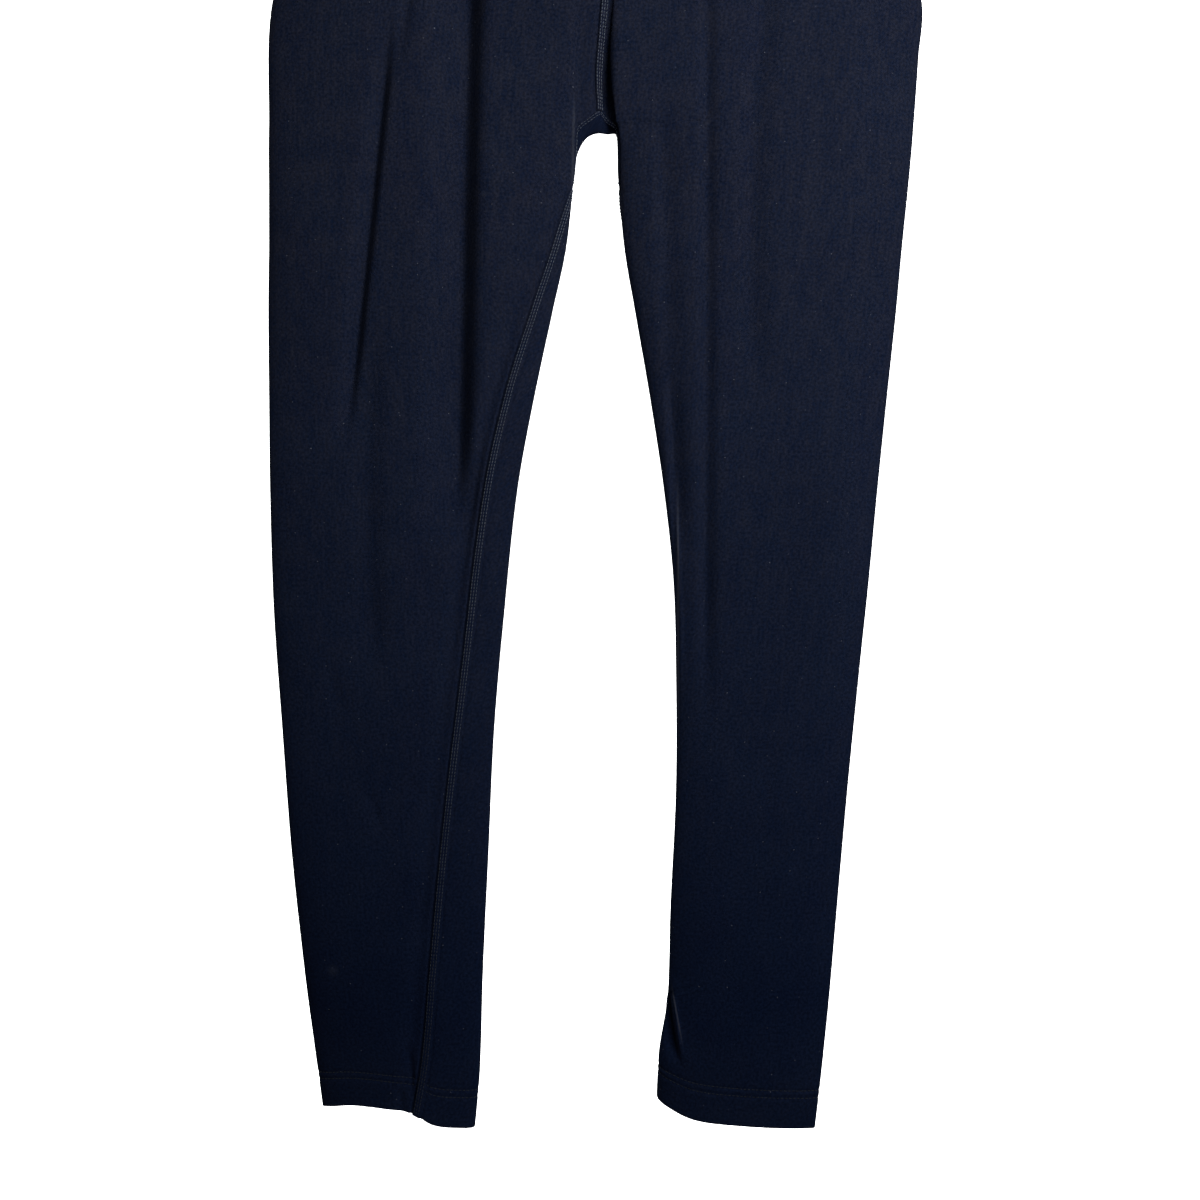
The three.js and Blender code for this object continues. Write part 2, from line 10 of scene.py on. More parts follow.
import bmesh
import bpy
import numpy as np
from bpy.props import FloatProperty, IntProperty, PointerProperty, StringProperty
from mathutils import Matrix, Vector


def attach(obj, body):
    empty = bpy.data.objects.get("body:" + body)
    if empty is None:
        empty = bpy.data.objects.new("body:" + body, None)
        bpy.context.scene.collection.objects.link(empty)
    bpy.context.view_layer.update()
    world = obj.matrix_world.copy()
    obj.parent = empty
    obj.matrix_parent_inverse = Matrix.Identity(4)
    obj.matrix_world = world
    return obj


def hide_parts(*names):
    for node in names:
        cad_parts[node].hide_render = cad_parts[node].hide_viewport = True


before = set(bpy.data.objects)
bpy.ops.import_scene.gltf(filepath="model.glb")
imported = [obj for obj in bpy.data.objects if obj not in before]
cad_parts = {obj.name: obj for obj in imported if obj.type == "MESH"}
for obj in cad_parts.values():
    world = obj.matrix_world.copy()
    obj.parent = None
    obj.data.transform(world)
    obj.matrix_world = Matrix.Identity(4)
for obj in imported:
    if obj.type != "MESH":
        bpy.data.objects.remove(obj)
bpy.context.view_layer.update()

bl_info = {
    "name": "Hanging leggings",
    "version": (1, 0, 0),
    "blender": (4, 5, 0),
    "location": "3D View > Sidebar > Leggings",
    "description": "Jersey leggings with flatlocked seams, made piece by piece",
    "category": "Object",
}

MM = 0.001
FULL_TURN = 2 * np.pi

# Levels of the garment, as in the solids
HEM_Z = -983.0
BAND_Z = -50.0
CROTCH_Z = -262.0
EDGE_POWER = 0.7  # below 1, the side folds are blunt rather than sharp
GUSSET_FRONT_Z = -249.0
GUSSET_BACK_Z = -245.0
GUSSET_SIDE_Z = -305.0
GUSSET_TURN_Z = -261.0
HEM_LIFT_HEIGHT = 90.0  # height over which the hem's lift fades out
HEM_ROWS = (26.5, 21.5)  # heights of the hem's two rows of stitches above its edge
HEM_GATHER = 0.55  # how far a row of stitches draws the hem in
ROW_STITCH = 2.9  # length of one stitch of the hems and the waist

# Where the cuts lie on the flat cloth, in millimetres. The height there sets how much painted light
# from above pales the navy and how much painted sheen shows.
CUT_X = {"right": 500, "left": 1600}
SMALL_CUT_X = 480
CUT_HEIGHT = 1050  # that of a panel's level 0
BAND_CUT_HEIGHT = 1020
# the gusset's cut lies low on the flat cloth so that its colour is painted darker, as shade under
# the crotch
GUSSET_SHADED_CUT_HEIGHT = 300

# Each leg as a flattened tube: x of its side folds, how far it bulges from its middle plane to the
# front and to the back, and where that plane lies at each side fold
Section = namedtuple("Section", "z outer inner front back outer_y inner_y")
RIGHT_LEG = [
    Section(-50, -196, -8, 11, 11, 0, 0),
    Section(-100, -214, -13, 14, 15, 0, 1),
    Section(-164, -240, -17, 17, 19, 0, 1),
    Section(-262, -243, -17, 18, 19, 0, 0),
    Section(-304, -243, -20, 18, 17, 0, 0),
    Section(-348, -243, -25, 17, 16, 0, 0),
    Section(-392, -243.5, -34.5, 16, 15, 0, 0),
    Section(-458, -243, -48.5, 14, 14, 0, -1),
    Section(-524, -242.5, -60.5, 13, 13, 1, -1),
    Section(-613, -240, -70, 12, 12, 2, -2),
    Section(-701, -234, -77.5, 12, 12, 3, -3),
    Section(-789, -227.5, -81.5, 12, 12, 4, -4),
    Section(-877, -218.5, -85.5, 13, 12, 6, -5),
    Section(-943, -210.5, -87.5, 13, 13, 8, -6),
    Section(-983, -205.5, -91, 13, 13, 9, -7),
]
LEFT_LEG = [
    Section(-50, 196, 12, 11, 11, 0, 0),
    Section(-100, 213, 13, 14, 15, 0, 1),
    Section(-164, 236, 10, 17, 19, 0, 1),
    Section(-208, 234, 9, 18, 19, 0, 0),
    Section(-262, 230, 13, 19, 19, 0, 0),
    Section(-304, 226, 14, 19, 17, 0, 0),
    Section(-348, 221.5, 18, 18, 16, 0, 0),
    Section(-392, 217.5, 25.5, 17, 15, 0, 0),
    Section(-458, 210.5, 37, 15, 14, 0, 1),
    Section(-524, 203.5, 47, 14, 13, -1, 2),
    Section(-590, 197, 54, 13, 12, -2, 3),
    Section(-657, 190, 56, 13, 12, -2, 4),
    Section(-745, 181, 56, 13, 12, -3, 5),
    Section(-833, 173, 52, 13, 12, -4, 6),
    Section(-899, 167, 50, 13, 13, -5, 8),
    Section(-943, 162, 44, 14, 14, -5, 10),
    Section(-983, 157, 42, 14, 14, -5, 12),
]

# Between the thighs the cloth falls back to a floor, this far from the middle plane
Valley = namedtuple("Valley", "z front back")
VALLEY = [
    Valley(-50, 10.5, 10.5),
    Valley(-100, 13.5, 14),
    Valley(-164, 15.5, 17),
    Valley(-190, 13, 15),
    Valley(-215, 9.5, 12),
    Valley(-240, 7.5, 9.5),
    Valley(-262, 6, 6.5),
    Valley(-285, 2.5, 2.5),
    Valley(-305, 0, 0),
]

# How far in from the inner side fold each inseam runs
Inset = namedtuple("Inset", "z inset")
RIGHT_INSEAM = [
    Inset(-305, 0),
    Inset(-345, 7),
    Inset(-394, 12.5),
    Inset(-457, 18.5),
    Inset(-574, 22.5),
    Inset(-679, 25),
    Inset(-790, 32),
    Inset(-901, 37),
    Inset(-983, 42.5),
]
LEFT_INSEAM = [
    Inset(-305, 0),
    Inset(-345, 4),
    Inset(-457, 10),
    Inset(-679, 16),
    Inset(-983, 22),
]

# How far the hem's edge rises, by turns round the leg from the inner side fold over the front
Lift = namedtuple("Lift", "turn lift")
RIGHT_HEM = [
    Lift(0, -6),
    Lift(0.1, -5),
    Lift(0.17, -3),
    Lift(0.22, 5),
    Lift(0.33, 8),
    Lift(0.42, 5),
    Lift(0.5, 3),
    Lift(0.75, 1),
    Lift(1, -6),
]
LEFT_HEM = [
    Lift(0, 9),
    Lift(0.08, 4),
    Lift(0.16, -3),
    Lift(0.25, -5),
    Lift(0.42, -6),
    Lift(0.5, -7),
    Lift(0.75, -1),
    Lift(1, 9),
]

# Troughs and ridges in a face of a leg, each through three points (z0, x0), (z1, x1), (z2, x2).
# near, far: half its breadth towards the inside of the leg and away from it. A ridge has a depth
# below zero. fade: height over which it comes and goes.
Crease = namedtuple("Crease", "z0 x0 z1 x1 z2 x2 near far depth fade")
CREASES = {
    ("right", "front"): [
        # the large folds, as in the solids, each with one side steeper than the other
        Crease(-160, -149.5, -304, -164.5, -510, -188, 4.4, 7, 7, 90),
        Crease(-60, -128, -150, -137, -240, -150, 5, 5, 2.6, 60),
        Crease(-60, -94, -330, -100.5, -590, -107, 9.5, 18, 15, 110),
        Crease(-380, -163, -520, -169, -680, -162, 9, 12, 2.6, 70),
        # a bulge beside a large fold
        Crease(-150, -118, -330, -121, -560, -122, 9, 14, -1.2, 60),
        # folds across the knee
        Crease(-738, -171, -758, -163, -778, -158, 3, 5, 1, 18),
        Crease(-730, -142, -744, -131, -758, -124, 3, 6, 0.9, 14),
        Crease(-640, -205, -668, -193, -700, -186, 5, 7, 0.8, 24),
        # beside the inseam above the hem
        Crease(-925, -140, -950, -137.5, -984, -136, 2, 2, 1.4, 20),
        Crease(-962, -147, -972, -145, -984, -144, 2, 2, 0.8, 8),
    ],
    ("left", "front"): [
        # the large folds, as in the solids, each with one side steeper than the other
        Crease(-90, 77.5, -350, 77.5, -720, 77.5, 5, 5.5, 3.9, 130),
        Crease(-60, 134, -300, 110, -480, 114, 8, 10, 3.4, 90),
        Crease(-220, 45, -330, 47.5, -470, 52, 6, 9, 2.6, 80),
        Crease(-420, 50, -500, 54.5, -585, 57.5, 3.6, 7, 4.2, 60),
        # a bulge beside a large fold
        Crease(-100, 184, -380, 178, -700, 160, 24, 15, -2.6, 130),
        # folds across the knee
        Crease(-700, 128, -732, 121, -770, 118, 5, 8, 0.9, 28),
        Crease(-770, 150, -796, 143, -826, 140, 4, 6, 0.8, 22),
        # the lower inner edge, turned back beside a ridge
        Crease(-876, 48.6, -907, 51.6, -950, 58, 6, 1.8, 6, 22),
        Crease(-880, 52, -907, 54.6, -944, 60.4, 1, 2.4, -2.8, 16),
        # the narrow roll down the inner edge
        Crease(-500, 53.5, -590, 57.5, -690, 58.5, 1.4, 2.2, -1.5, 60),
    ],
    ("right", "back"): [
        # the large folds, as in the solids, each with one side steeper than the other
        Crease(-60, -126, -280, -150, -560, -172, 6, 9, 6.5, 70),
        Crease(-200, -60, -380, -86, -640, -112, 10, 8, 5.5, 70),
        # folds across the knee
        Crease(-620, -140, -650, -148, -690, -151, 4, 8, 1.6, 26),
        Crease(-652, -196, -676, -186, -706, -180, 4, 7, 1.4, 22),
        # the seat and the outside of the calf
        Crease(-214, -40, -244, -62, -276, -92, 7, 9, 2, 30),
        Crease(-760, -150, -830, -158, -910, -160, 6, 10, 1.6, 50),
    ],
    ("left", "back"): [
        # the large folds, as in the solids, each with one side steeper than the other
        Crease(-60, 112, -290, 128, -600, 150, 7, 11, 7.5, 70),
        Crease(-210, 52, -420, 88, -690, 106, 6, 9, 5, 70),
        # folds across the knee
        Crease(-610, 122, -642, 114, -676, 110, 5, 7, 1.7, 24),
        Crease(-668, 158, -690, 150, -724, 146, 4, 7, 1.2, 20),
        # the seat and the outside of the calf
        Crease(-218, 42, -246, 66, -280, 98, 7, 9, 2.2, 30),
        Crease(-740, 120, -820, 116, -900, 112, 8, 6, 1.5, 50),
    ],
}

# Soft gathers under the waistband: where each starts, how far down it runs, breadth and depth
Gather = namedtuple("Gather", "x length width depth")
GATHERS = {
    ("right", "front"): [
        Gather(-168, 62, 6, 1.6),
        Gather(-88, 48, 5, 1.2),
        Gather(-52, 80, 7, 1.5),
    ],
    ("left", "front"): [
        Gather(48, 56, 6, 1.4),
        Gather(84, 74, 5, 1.1),
        Gather(160, 66, 7, 1.7),
    ],
    ("right", "back"): [
        Gather(-160, 72, 7, 1.8),
        Gather(-100, 52, 5, 1.3),
        Gather(-44, 88, 6, 1.4),
    ],
    ("left", "back"): [
        Gather(40, 70, 6, 1.3),
        Gather(76, 54, 6, 1.5),
        Gather(152, 84, 7, 1.6),
    ],
}

# Where the rise seams hang: within 3 mm of the solids' straight line
Centre = namedtuple("Centre", "z x")
CENTRE = [
    Centre(0, 2),
    Centre(-50, 2),
    Centre(-110, 3.4),
    Centre(-164, 4),
    Centre(-190, 1.6),
    Centre(-222, -0.8),
    Centre(-250, 0.2),
    Centre(-262, 1.4),
]

# The valley between the thighs is deepest beside the left one, next to the seam, and the left thigh
# hangs a little way over it
Hollow = namedtuple("Hollow", "z x depth over")
HOLLOW = [
    Hollow(-110, 9, 0, 0),
    Hollow(-160, 9, 1.5, 2),
    Hollow(-190, 6, 5.5, 4),
    Hollow(-225, 4.6, 9.5, 5.5),
    Hollow(-244, 4.6, 9, 5),
    Hollow(-258, 6, 4.5, 4),
    Hollow(-275, 8, 0, 1),
    Hollow(-300, 8, 0, 0),
]
HOLLOW_WIDTH = 3.8
OVERHANG_RISE, OVERHANG_WIDTH = 0.42, 0.2  # where up the thigh's side it is widest, and its spread

# Specks of lint and a faint smudge on the cloth, in metres. core: share of the radius that is fully
# covered. depth_share: how much a distance in depth counts for.
Speck = namedtuple("Speck", "at radius core strength depth_share")
SPECKS = [
    Speck((-0.1198, -0.015, -0.1914), 0.0006, 0.4, 0.12, 0.05),
    Speck((-0.031, -0.015, -0.2193), 0.0005, 0.4, 0.06, 0.05),
    Speck((-0.0195, -0.015, -0.2326), 0.0006, 0.4, 0.1, 0.05),
    Speck((0.1191, -0.015, -0.209), 0.0005, 0.4, 0.1, 0.05),
    Speck((-0.0325, -0.015, -0.2965), 0.0005, 0.4, 0.07, 0.05),
    Speck((-0.084, -0.016, -0.312), 0.003, 0, 0.012, 0.1),
    Speck((-0.21, -0.012, -0.495), 0.0006, 0.4, 0.12, 0.05),
    Speck((-0.1335, -0.01, -0.79), 0.0005, 0.4, 0.03, 0.05),
    Speck((-0.195, -0.007, -0.8757), 0.0055, 0, 0.009, 0.3),
    Speck((-0.187, -0.007, -0.8727), 0.0005, 0.4, 0.03, 0.05),
]

# Pale lines painted along fold edges of the front as highlights, where the edges catch the light,
# as straight lines in metres. width: half of the line's.
PaintedHighlight = namedtuple("PaintedHighlight", "x z x_end z_end width strength")
PAINTED_HIGHLIGHTS = [
    PaintedHighlight(0.0569, -0.51, 0.0574, -0.73, 0.0011, 0.024),
    PaintedHighlight(0.0519, -0.885, 0.0606, -0.932, 0.0008, 0.022),
    PaintedHighlight(-0.0187, -0.236, -0.0205, -0.318, 0.0012, 0.018),
]

Leg = namedtuple("Leg", "side way rows inseam seam_turn hem")
RIGHT = Leg("right", 1, RIGHT_LEG, RIGHT_INSEAM, 1, RIGHT_HEM)
LEFT = Leg("left", -1, LEFT_LEG, LEFT_INSEAM, -1, LEFT_HEM)
LEGS = (RIGHT, LEFT)


# Reading the tables


def mix(a, b, t):
    return a + (b - a) * t


def smooth(t):
    t = np.clip(t, 0, 1)
    return t * t * (3 - 2 * t)


def read(rows, column, at, key="z"):
    """A table's column at places along its key column, as one smooth curve through the rows."""
    keys = np.array([getattr(row, key) for row in rows], float)
    values = np.array([getattr(row, column) for row in rows], float)
    where = np.asarray(at, float)
    if keys[0] > keys[-1]:
        keys, where = -keys, -where
    where = np.clip(where, keys[0], keys[-1])
    last = len(keys) - 1
    i = np.clip(np.searchsorted(keys, where) - 1, 0, last - 1)
    before = np.maximum(np.arange(last + 1) - 1, 0)
    after = np.minimum(np.arange(last + 1) + 1, last)
    slope = (values[after] - values[before]) / (keys[after] - keys[before])
    span = keys[i + 1] - keys[i]
    t = (where - keys[i]) / span
    bend = (1 - t) * slope[i] - t * slope[i + 1]
    chord = (values[i + 1] - values[i]) / span
    between = mix(values[i], values[i + 1], t)
    return between + t * (1 - t) * span * (bend - (1 - 2 * t) * chord)


def soft_noise(x, z, cell, seed):
    """Smooth noise from -1 to 1 over a plane, the same on each run."""
    lattice = np.random.RandomState(seed).uniform(-1, 1, (64, 64))
    u, v = np.asarray(x) / cell + 20.0, np.asarray(z) / cell + 40.0
    i, j = np.floor(u).astype(int), np.floor(v).astype(int)
    s, t = smooth(u - i), smooth(v - j)
    i, j = i % 63, j % 63
    low = mix(lattice[i, j], lattice[i + 1, j], s)
    high = mix(lattice[i, j + 1], lattice[i + 1, j + 1], s)
    return mix(low, high, t)


def crease_depth(leg, face, x, z):
    """How far the creases and the gathers sink into one face of a leg."""
    depth = np.zeros(np.broadcast(x, z).shape)
    for c in CREASES[leg.side, face]:
        t = (z - c.z0) / (c.z2 - c.z0)
        middle = (c.z1 - c.z0) / (c.z2 - c.z0)
        bow = (c.x1 - mix(c.x0, c.x2, middle)) / (middle * (1 - middle))
        line = mix(c.x0, c.x2, t) + bow * t * (1 - t)
        away = (x - line) * -leg.way
        width = np.where(away < 0, c.near, c.far)
        fade = smooth(np.minimum(c.z0 - z, z - c.z2) / c.fade)
        depth += c.depth * fade * np.exp(-((away / width) ** 2))
    for g in GATHERS[leg.side, face]:
        fade = smooth((z - BAND_Z + g.length) / g.length) * (z < BAND_Z)
        depth += g.depth * fade * np.exp(-(((x - g.x) / g.width) ** 2))
    return depth


def undulation(face, x, z):
    """The slack cloth's low, uneven waves."""
    seed = 11 if face == "front" else 23
    tall = soft_noise(x * 1.7, z * 0.55, 62, seed)
    short = soft_noise(x, z, 34, seed + 1)
    return 0.75 * tall + 0.28 * short


def gusset_level(z):
    """Whether a level lies above the inseam, where the panel is open at the inside."""
    return z > GUSSET_SIDE_Z


def surface_point(leg, z, place):
    """Points of a leg's outer surface. place is an angle round the tube: 0 at the inner side fold,
    half a turn at the outer one, by way of the front. Above the inseam, -1 to 0 and one more past
    the full turn run over the valley floor to the centre seams."""
    z, place = np.broadcast_arrays(np.asarray(z, float), np.asarray(place, float))
    outer, inner = read(leg.rows, "outer", z), read(leg.rows, "inner", z)
    above = gusset_level(z)
    angle = np.where(above, np.clip(place, 0, FULL_TURN), np.mod(place, FULL_TURN))
    is_front = np.where(above, place < np.pi, angle < np.pi)
    onto_floor = np.where(above, np.maximum(0, np.maximum(-place, place - FULL_TURN)), 0)
    across = (outer + inner) / 2 + (inner - outer) / 2 * np.cos(angle)
    x = mix(across, read(CENTRE, "x", z), onto_floor)
    rise = np.abs(np.sin(angle)) ** EDGE_POWER
    if leg.way < 0:
        overhang = np.exp(-(((rise - OVERHANG_RISE) / OVERHANG_WIDTH) ** 2)) * is_front
        x = x - read(HOLLOW, "over", z) * overhang
    fading = smooth(2 * rise)
    depths = []
    for face in ("front", "back"):
        floor = read(VALLEY, face, z)
        if face == "front":
            away = (x - read(HOLLOW, "x", z)) / HOLLOW_WIDTH
            floor = floor - read(HOLLOW, "depth", z) * np.exp(-(away**2))
        floor = floor * ((1 + np.cos(angle)) / 2) ** 2
        sunk = (crease_depth(leg, face, x, z) - undulation(face, x, z)) * fading
        depths.append(mix(floor, read(leg.rows, face, z), rise) - sunk)
    middle = mix(
        read(leg.rows, "outer_y", z),
        read(leg.rows, "inner_y", z),
        np.clip((x - outer) / (inner - outer), 0, 1),
    )
    return x, np.where(is_front, middle - depths[0], middle + depths[1])


def seam_place(leg, z, is_front):
    """Where a leg's seam lies round the tube: the inseam, or the gusset's edge above it."""
    z = np.asarray(z, float)
    width = np.abs(read(leg.rows, "outer", z) - read(leg.rows, "inner", z))
    inset = read(leg.inseam, "inset", z)
    below = leg.seam_turn * np.arccos(1 - 2 * inset / width)
    top = GUSSET_FRONT_Z if is_front else GUSSET_BACK_Z
    on_floor = np.clip((z - GUSSET_TURN_Z) / (top - GUSSET_TURN_Z), 0, 1)
    if is_front:
        return np.where(gusset_level(z), -on_floor, below)
    return np.where(gusset_level(z), FULL_TURN + on_floor, below + FULL_TURN)


def hem_lift(leg, place, z):
    turn = np.mod(place / FULL_TURN, 1)
    share = smooth((HEM_Z + HEM_LIFT_HEIGHT - z) / HEM_LIFT_HEIGHT)
    return read(leg.hem, "lift", turn, key="turn") * share


class Outline:
    """Fine traces of a leg panel's outer surface at many levels, from its front seam to its back
    seam, with the distance along each one. Millimetres."""

    POINTS = 900
    TURN_WEIGHT = 20.0  # millimetres of length that one radian of bend counts for
    GROOVE = 4.1  # how far from the seam line the tape presses a groove into the cloth
    GROOVE_DEPTH = (1.2, 0.5)  # at the front seam and at the back one
    GROOVE_WIDTH = 0.9
    RISE_GROOVE = 1.3  # how much deeper it is beside the rise seams
    # the slack beside the right inseam: its depth, distance from the seam and breadth, the levels
    # where it starts and where it has eased, and the share that is left there
    SLACK, SLACK_AT, SLACK_WIDTH = 4.2, 11, 6.5
    SLACK_TOP, SLACK_EASED, SLACK_LEFT = -360, -680, 0.45

    def __init__(self, leg, levels, hem_gather=0.0):
        self.leg, self.levels = leg, np.asarray(levels, float)
        z = self.levels[:, None]
        start, end = seam_place(leg, z, True), seam_place(leg, z, False)
        place = mix(start, end, np.linspace(0, 1, self.POINTS)[None, :])
        x, y = surface_point(leg, z, place)
        self.place = place
        self.x, self.y, self.z = x, y, z + hem_lift(leg, place, z)
        self.measure()
        press = self.pressing(hem_gather)
        self.x = self.x - self.nx * press
        self.y = self.y - self.ny * press
        self.measure()
        self.fold = np.where(gusset_level(z[:, 0]), self.far_of(np.zeros(len(z))), 0)
        back_fold = self.far_of(np.full(len(z), FULL_TURN))
        self.back_fold = np.where(gusset_level(z[:, 0]), self.total - back_fold, 0)
        self.outer = self.far_of(np.full(len(z), np.pi))

    def measure(self):
        dx, dy = np.gradient(self.x, axis=1), np.gradient(self.y, axis=1)
        length = np.hypot(dx, dy)
        self.nx = -self.leg.way * dy / length
        self.ny = self.leg.way * dx / length
        steps = np.hypot(np.diff(self.x, axis=1), np.diff(self.y, axis=1))
        self.far = np.concatenate([np.zeros((len(steps), 1)), np.cumsum(steps, axis=1)], axis=1)
        self.total = self.far[:, -1]

    def pressing(self, hem_gather):
        """How far the seam's tape and the hem's stitches press into the cloth."""
        depth = np.zeros_like(self.far)
        beside_rise = smooth((self.levels[:, None] - GUSSET_TURN_Z) / 20)
        for distance, deep, side in (
            (self.far, self.GROOVE_DEPTH[0], self.leg.way > 0),
            (self.total[:, None] - self.far, self.GROOVE_DEPTH[1], True),
        ):
            deep = deep + beside_rise * (self.RISE_GROOVE if side else 0)
            depth += deep * np.exp(-(((distance - self.GROOVE) / self.GROOVE_WIDTH) ** 2))
        if self.leg.seam_turn > 0:
            slack = smooth((self.SLACK_TOP - self.levels[:, None]) / 80)
            eased = smooth((self.levels[:, None] - self.SLACK_EASED) / 120)
            slack = self.SLACK * slack * mix(self.SLACK_LEFT, 1, eased)
            depth += slack * np.exp(-(((self.far - self.SLACK_AT) / self.SLACK_WIDTH) ** 2))
        if hem_gather:
            level = self.levels[:, None] - HEM_Z
            for row in HEM_ROWS:
                depth += hem_gather * np.exp(-(((level - row) / 1.1) ** 2))
        return depth

    def far_of(self, place):
        """The distance along each trace to a place round the tube."""
        traces = zip(place, self.place, self.far)
        return np.array([np.interp(p, row, far) for p, row, far in traces])

    def columns(self, strip, front, back):
        """Distances of a panel's columns along each trace: a strip beside each seam, and the front
        and the back between them, closer together where the cloth bends."""
        cosine = self.nx[:, 1:] * self.nx[:, :-1] + self.ny[:, 1:] * self.ny[:, :-1]
        turn = np.arccos(np.clip(cosine, -1, 1))
        step = np.diff(self.far, axis=1) + self.TURN_WEIGHT * turn
        weight = np.concatenate([np.zeros((len(step), 1)), np.cumsum(step, axis=1)], axis=1)
        near = np.hypot(self.fold, 8)
        nearby = np.hypot(self.back_fold, 8)
        found = []
        for k in range(len(self.levels)):
            far, heavy = self.far[k], weight[k]

            def spaced(a, b, count):
                low, high = np.interp([a, b], far, heavy)
                return np.interp(np.linspace(low, high, count + 1), heavy, far)

            left = strip * near[k]
            right = self.total[k] - strip[::-1] * nearby[k]
            middle = spaced(near[k], self.outer[k], front)
            rest = spaced(self.outer[k], self.total[k] - nearby[k], back)
            found.append(np.concatenate([left[:-1], middle, rest[1:-1], right]))
        return np.array(found)

    def at(self, far, out=0.0):
        """Points at distances along each trace, moved outwards in the section's plane."""
        parts = []
        for column in (self.x, self.y, self.z, self.nx, self.ny):
            parts.append(
                np.array([np.interp(f, row, c) for f, row, c in zip(far, self.far, column)])
            )
        x, y, z, nx, ny = parts
        return np.stack([x + nx * out, y + ny * out, z], axis=-1)


def steps(start, end, size):
    """Levels from one to another, the last left out, no further apart than a step."""
    count = int(np.ceil(abs(end - start) / size))
    return list(np.linspace(start, end, count, endpoint=False))


# Meshes


def new_object(name, bm, material=None):
    mesh = bpy.data.meshes.new(name)
    bm.to_mesh(mesh)
    bm.free()
    for face in mesh.polygons:
        face.use_smooth = True
    obj = bpy.data.objects.new(name, mesh)
    bpy.context.scene.collection.objects.link(obj)
    if material is not None:
        mesh.materials.append(material)
    return obj


def cloth(name, points, flat, material, closed=False):
    """A sheet of cloth from a grid of points in millimetres. flat gives each point's place on the
    flat cut, in millimetres, for the weave."""
    rows, columns = points.shape[:2]
    bm = bmesh.new()
    bmesh.ops.create_grid(bm, x_segments=columns - 1, y_segments=rows - 1, size=0.5)
    uv_layer = bm.loops.layers.uv.new("flat")
    spots = {}
    for vert in bm.verts:
        j = round((vert.co.x + 0.5) * (columns - 1))
        i = round((vert.co.y + 0.5) * (rows - 1))
        spots[vert.index] = (i, j)
    for vert in bm.verts:
        vert.co = Vector(points[spots[vert.index]] * MM)
    for face in bm.faces:
        for loop in face.loops:
            loop[uv_layer].uv = flat[spots[loop.vert.index]] * MM
    if closed:
        bmesh.ops.remove_doubles(bm, verts=bm.verts, dist=0.00002)
    return new_object(name, bm, material)


def turn_out(obj, point, direction):
    """Turns all faces over if the one nearest a point doesn't face the given way."""
    nearest = min(obj.data.polygons, key=lambda f: (f.center - Vector(point)).length)
    if nearest.normal.dot(Vector(direction)) < 0:
        obj.data.flip_normals()


def thicken(obj, thickness):
    wall = obj.modifiers.new("cloth thickness", "SOLIDIFY")
    wall.thickness = thickness
    wall.offset = -1
    wall.use_quality_normals = True
    return obj


def stitches(name, spots, material):
    """Short threads joined into one mesh. Each spot is a middle, a half length along a direction, a
    half width across and a half height out, as four vectors in millimetres."""
    bm = bmesh.new()
    bmesh.ops.create_uvsphere(bm, u_segments=6, v_segments=4, radius=1)
    bm.verts.ensure_lookup_table()
    shape = np.array([v.co for v in bm.verts])
    faces = [[v.index for v in f.verts] for f in bm.faces]
    bm.free()
    spots = np.asarray(spots, float)
    middle, along, across, out = (spots[:, k] for k in range(4))
    points = (
        middle[:, None, :]
        + shape[None, :, 2, None] * along[:, None, :]
        + shape[None, :, 0, None] * across[:, None, :]
        + shape[None, :, 1, None] * out[:, None, :]
    )
    count, size = len(spots), len(shape)
    mesh = bpy.data.meshes.new(name)
    joined = [[v + k * size for v in face] for k in range(count) for face in faces]
    mesh.from_pydata((points.reshape(-1, 3) * MM).tolist(), [], joined)
    mesh.update()
    bm = bmesh.new()
    bm.from_mesh(mesh)
    bmesh.ops.recalc_face_normals(bm, faces=bm.faces)
    bm.to_mesh(mesh)
    bm.free()
    for face in mesh.polygons:
        face.use_smooth = True
    mesh.materials.append(material)
    obj = bpy.data.objects.new(name, mesh)
    bpy.context.scene.collection.objects.link(obj)
    return obj


def unit(v):
    return v / np.linalg.norm(v, axis=-1, keepdims=True)


# Materials


def linear(hex_colour):
    """An sRGB hex colour as a linear RGBA colour."""
    channels = [int(hex_colour[i : i + 2], 16) / 255 for i in (1, 3, 5)]
    return (*[c / 12.92 if c <= 0.04045 else ((c + 0.055) / 1.055) ** 2.4 for c in channels], 1)


def node(tree, kind, links=None, stops=(), **settings):
    """Adds a node and returns its outputs. links gives its inputs as other nodes' outputs or as
    values. stops are a ramp's, each a place and a grey level."""
    made = tree.nodes.new(kind)
    for key, value in settings.items():
        setattr(made, key, value)
    for key, value in (links or {}).items():
        if isinstance(value, bpy.types.NodeSocket):
            tree.links.new(value, made.inputs[key])
        else:
            made.inputs[key].default_value = value
    for k, (place, grey) in enumerate(stops):
        elements = made.color_ramp.elements
        element = elements[k] if k < 2 else elements.new(place)
        element.position = place
        element.color = (grey, grey, grey, 1)
    return made.outputs


def new_material(name):
    material = bpy.data.materials.new(name)
    material.use_nodes = True
    material.node_tree.nodes.clear()
    return material, material.node_tree


# The jersey's layers of noise over its flat cut. size: a spot's, in metres. stretch: below 1 where
# the spots are longer down the leg. low, high: where the ramp over it starts, at least, and ends.
Layer = namedtuple("Layer", "size detail stretch seed low high least")
LAYERS = {
    # where the dye has washed out unevenly
    "clouds": Layer(0.06, 2, 1, 0, 0.3, 0.7, 0),
    "blots": Layer(0.011, 3, 0.6, 7, 0.36, 0.66, 0),
    # the fibres' mottle and grain, coarser than the real loops of 0.6 mm so that they show
    "mottle": Layer(0.0024, 3, 1, 3, 0.32, 0.72, 0),
    "grain": Layer(0.0019, 2, 1, 9, 0.3, 0.7, 0.55),
    # streaks down the wales, some 40 mm long
    "streaks": Layer(0.0016, 2, 0.04, 5, 0.35, 0.7, 0),
}
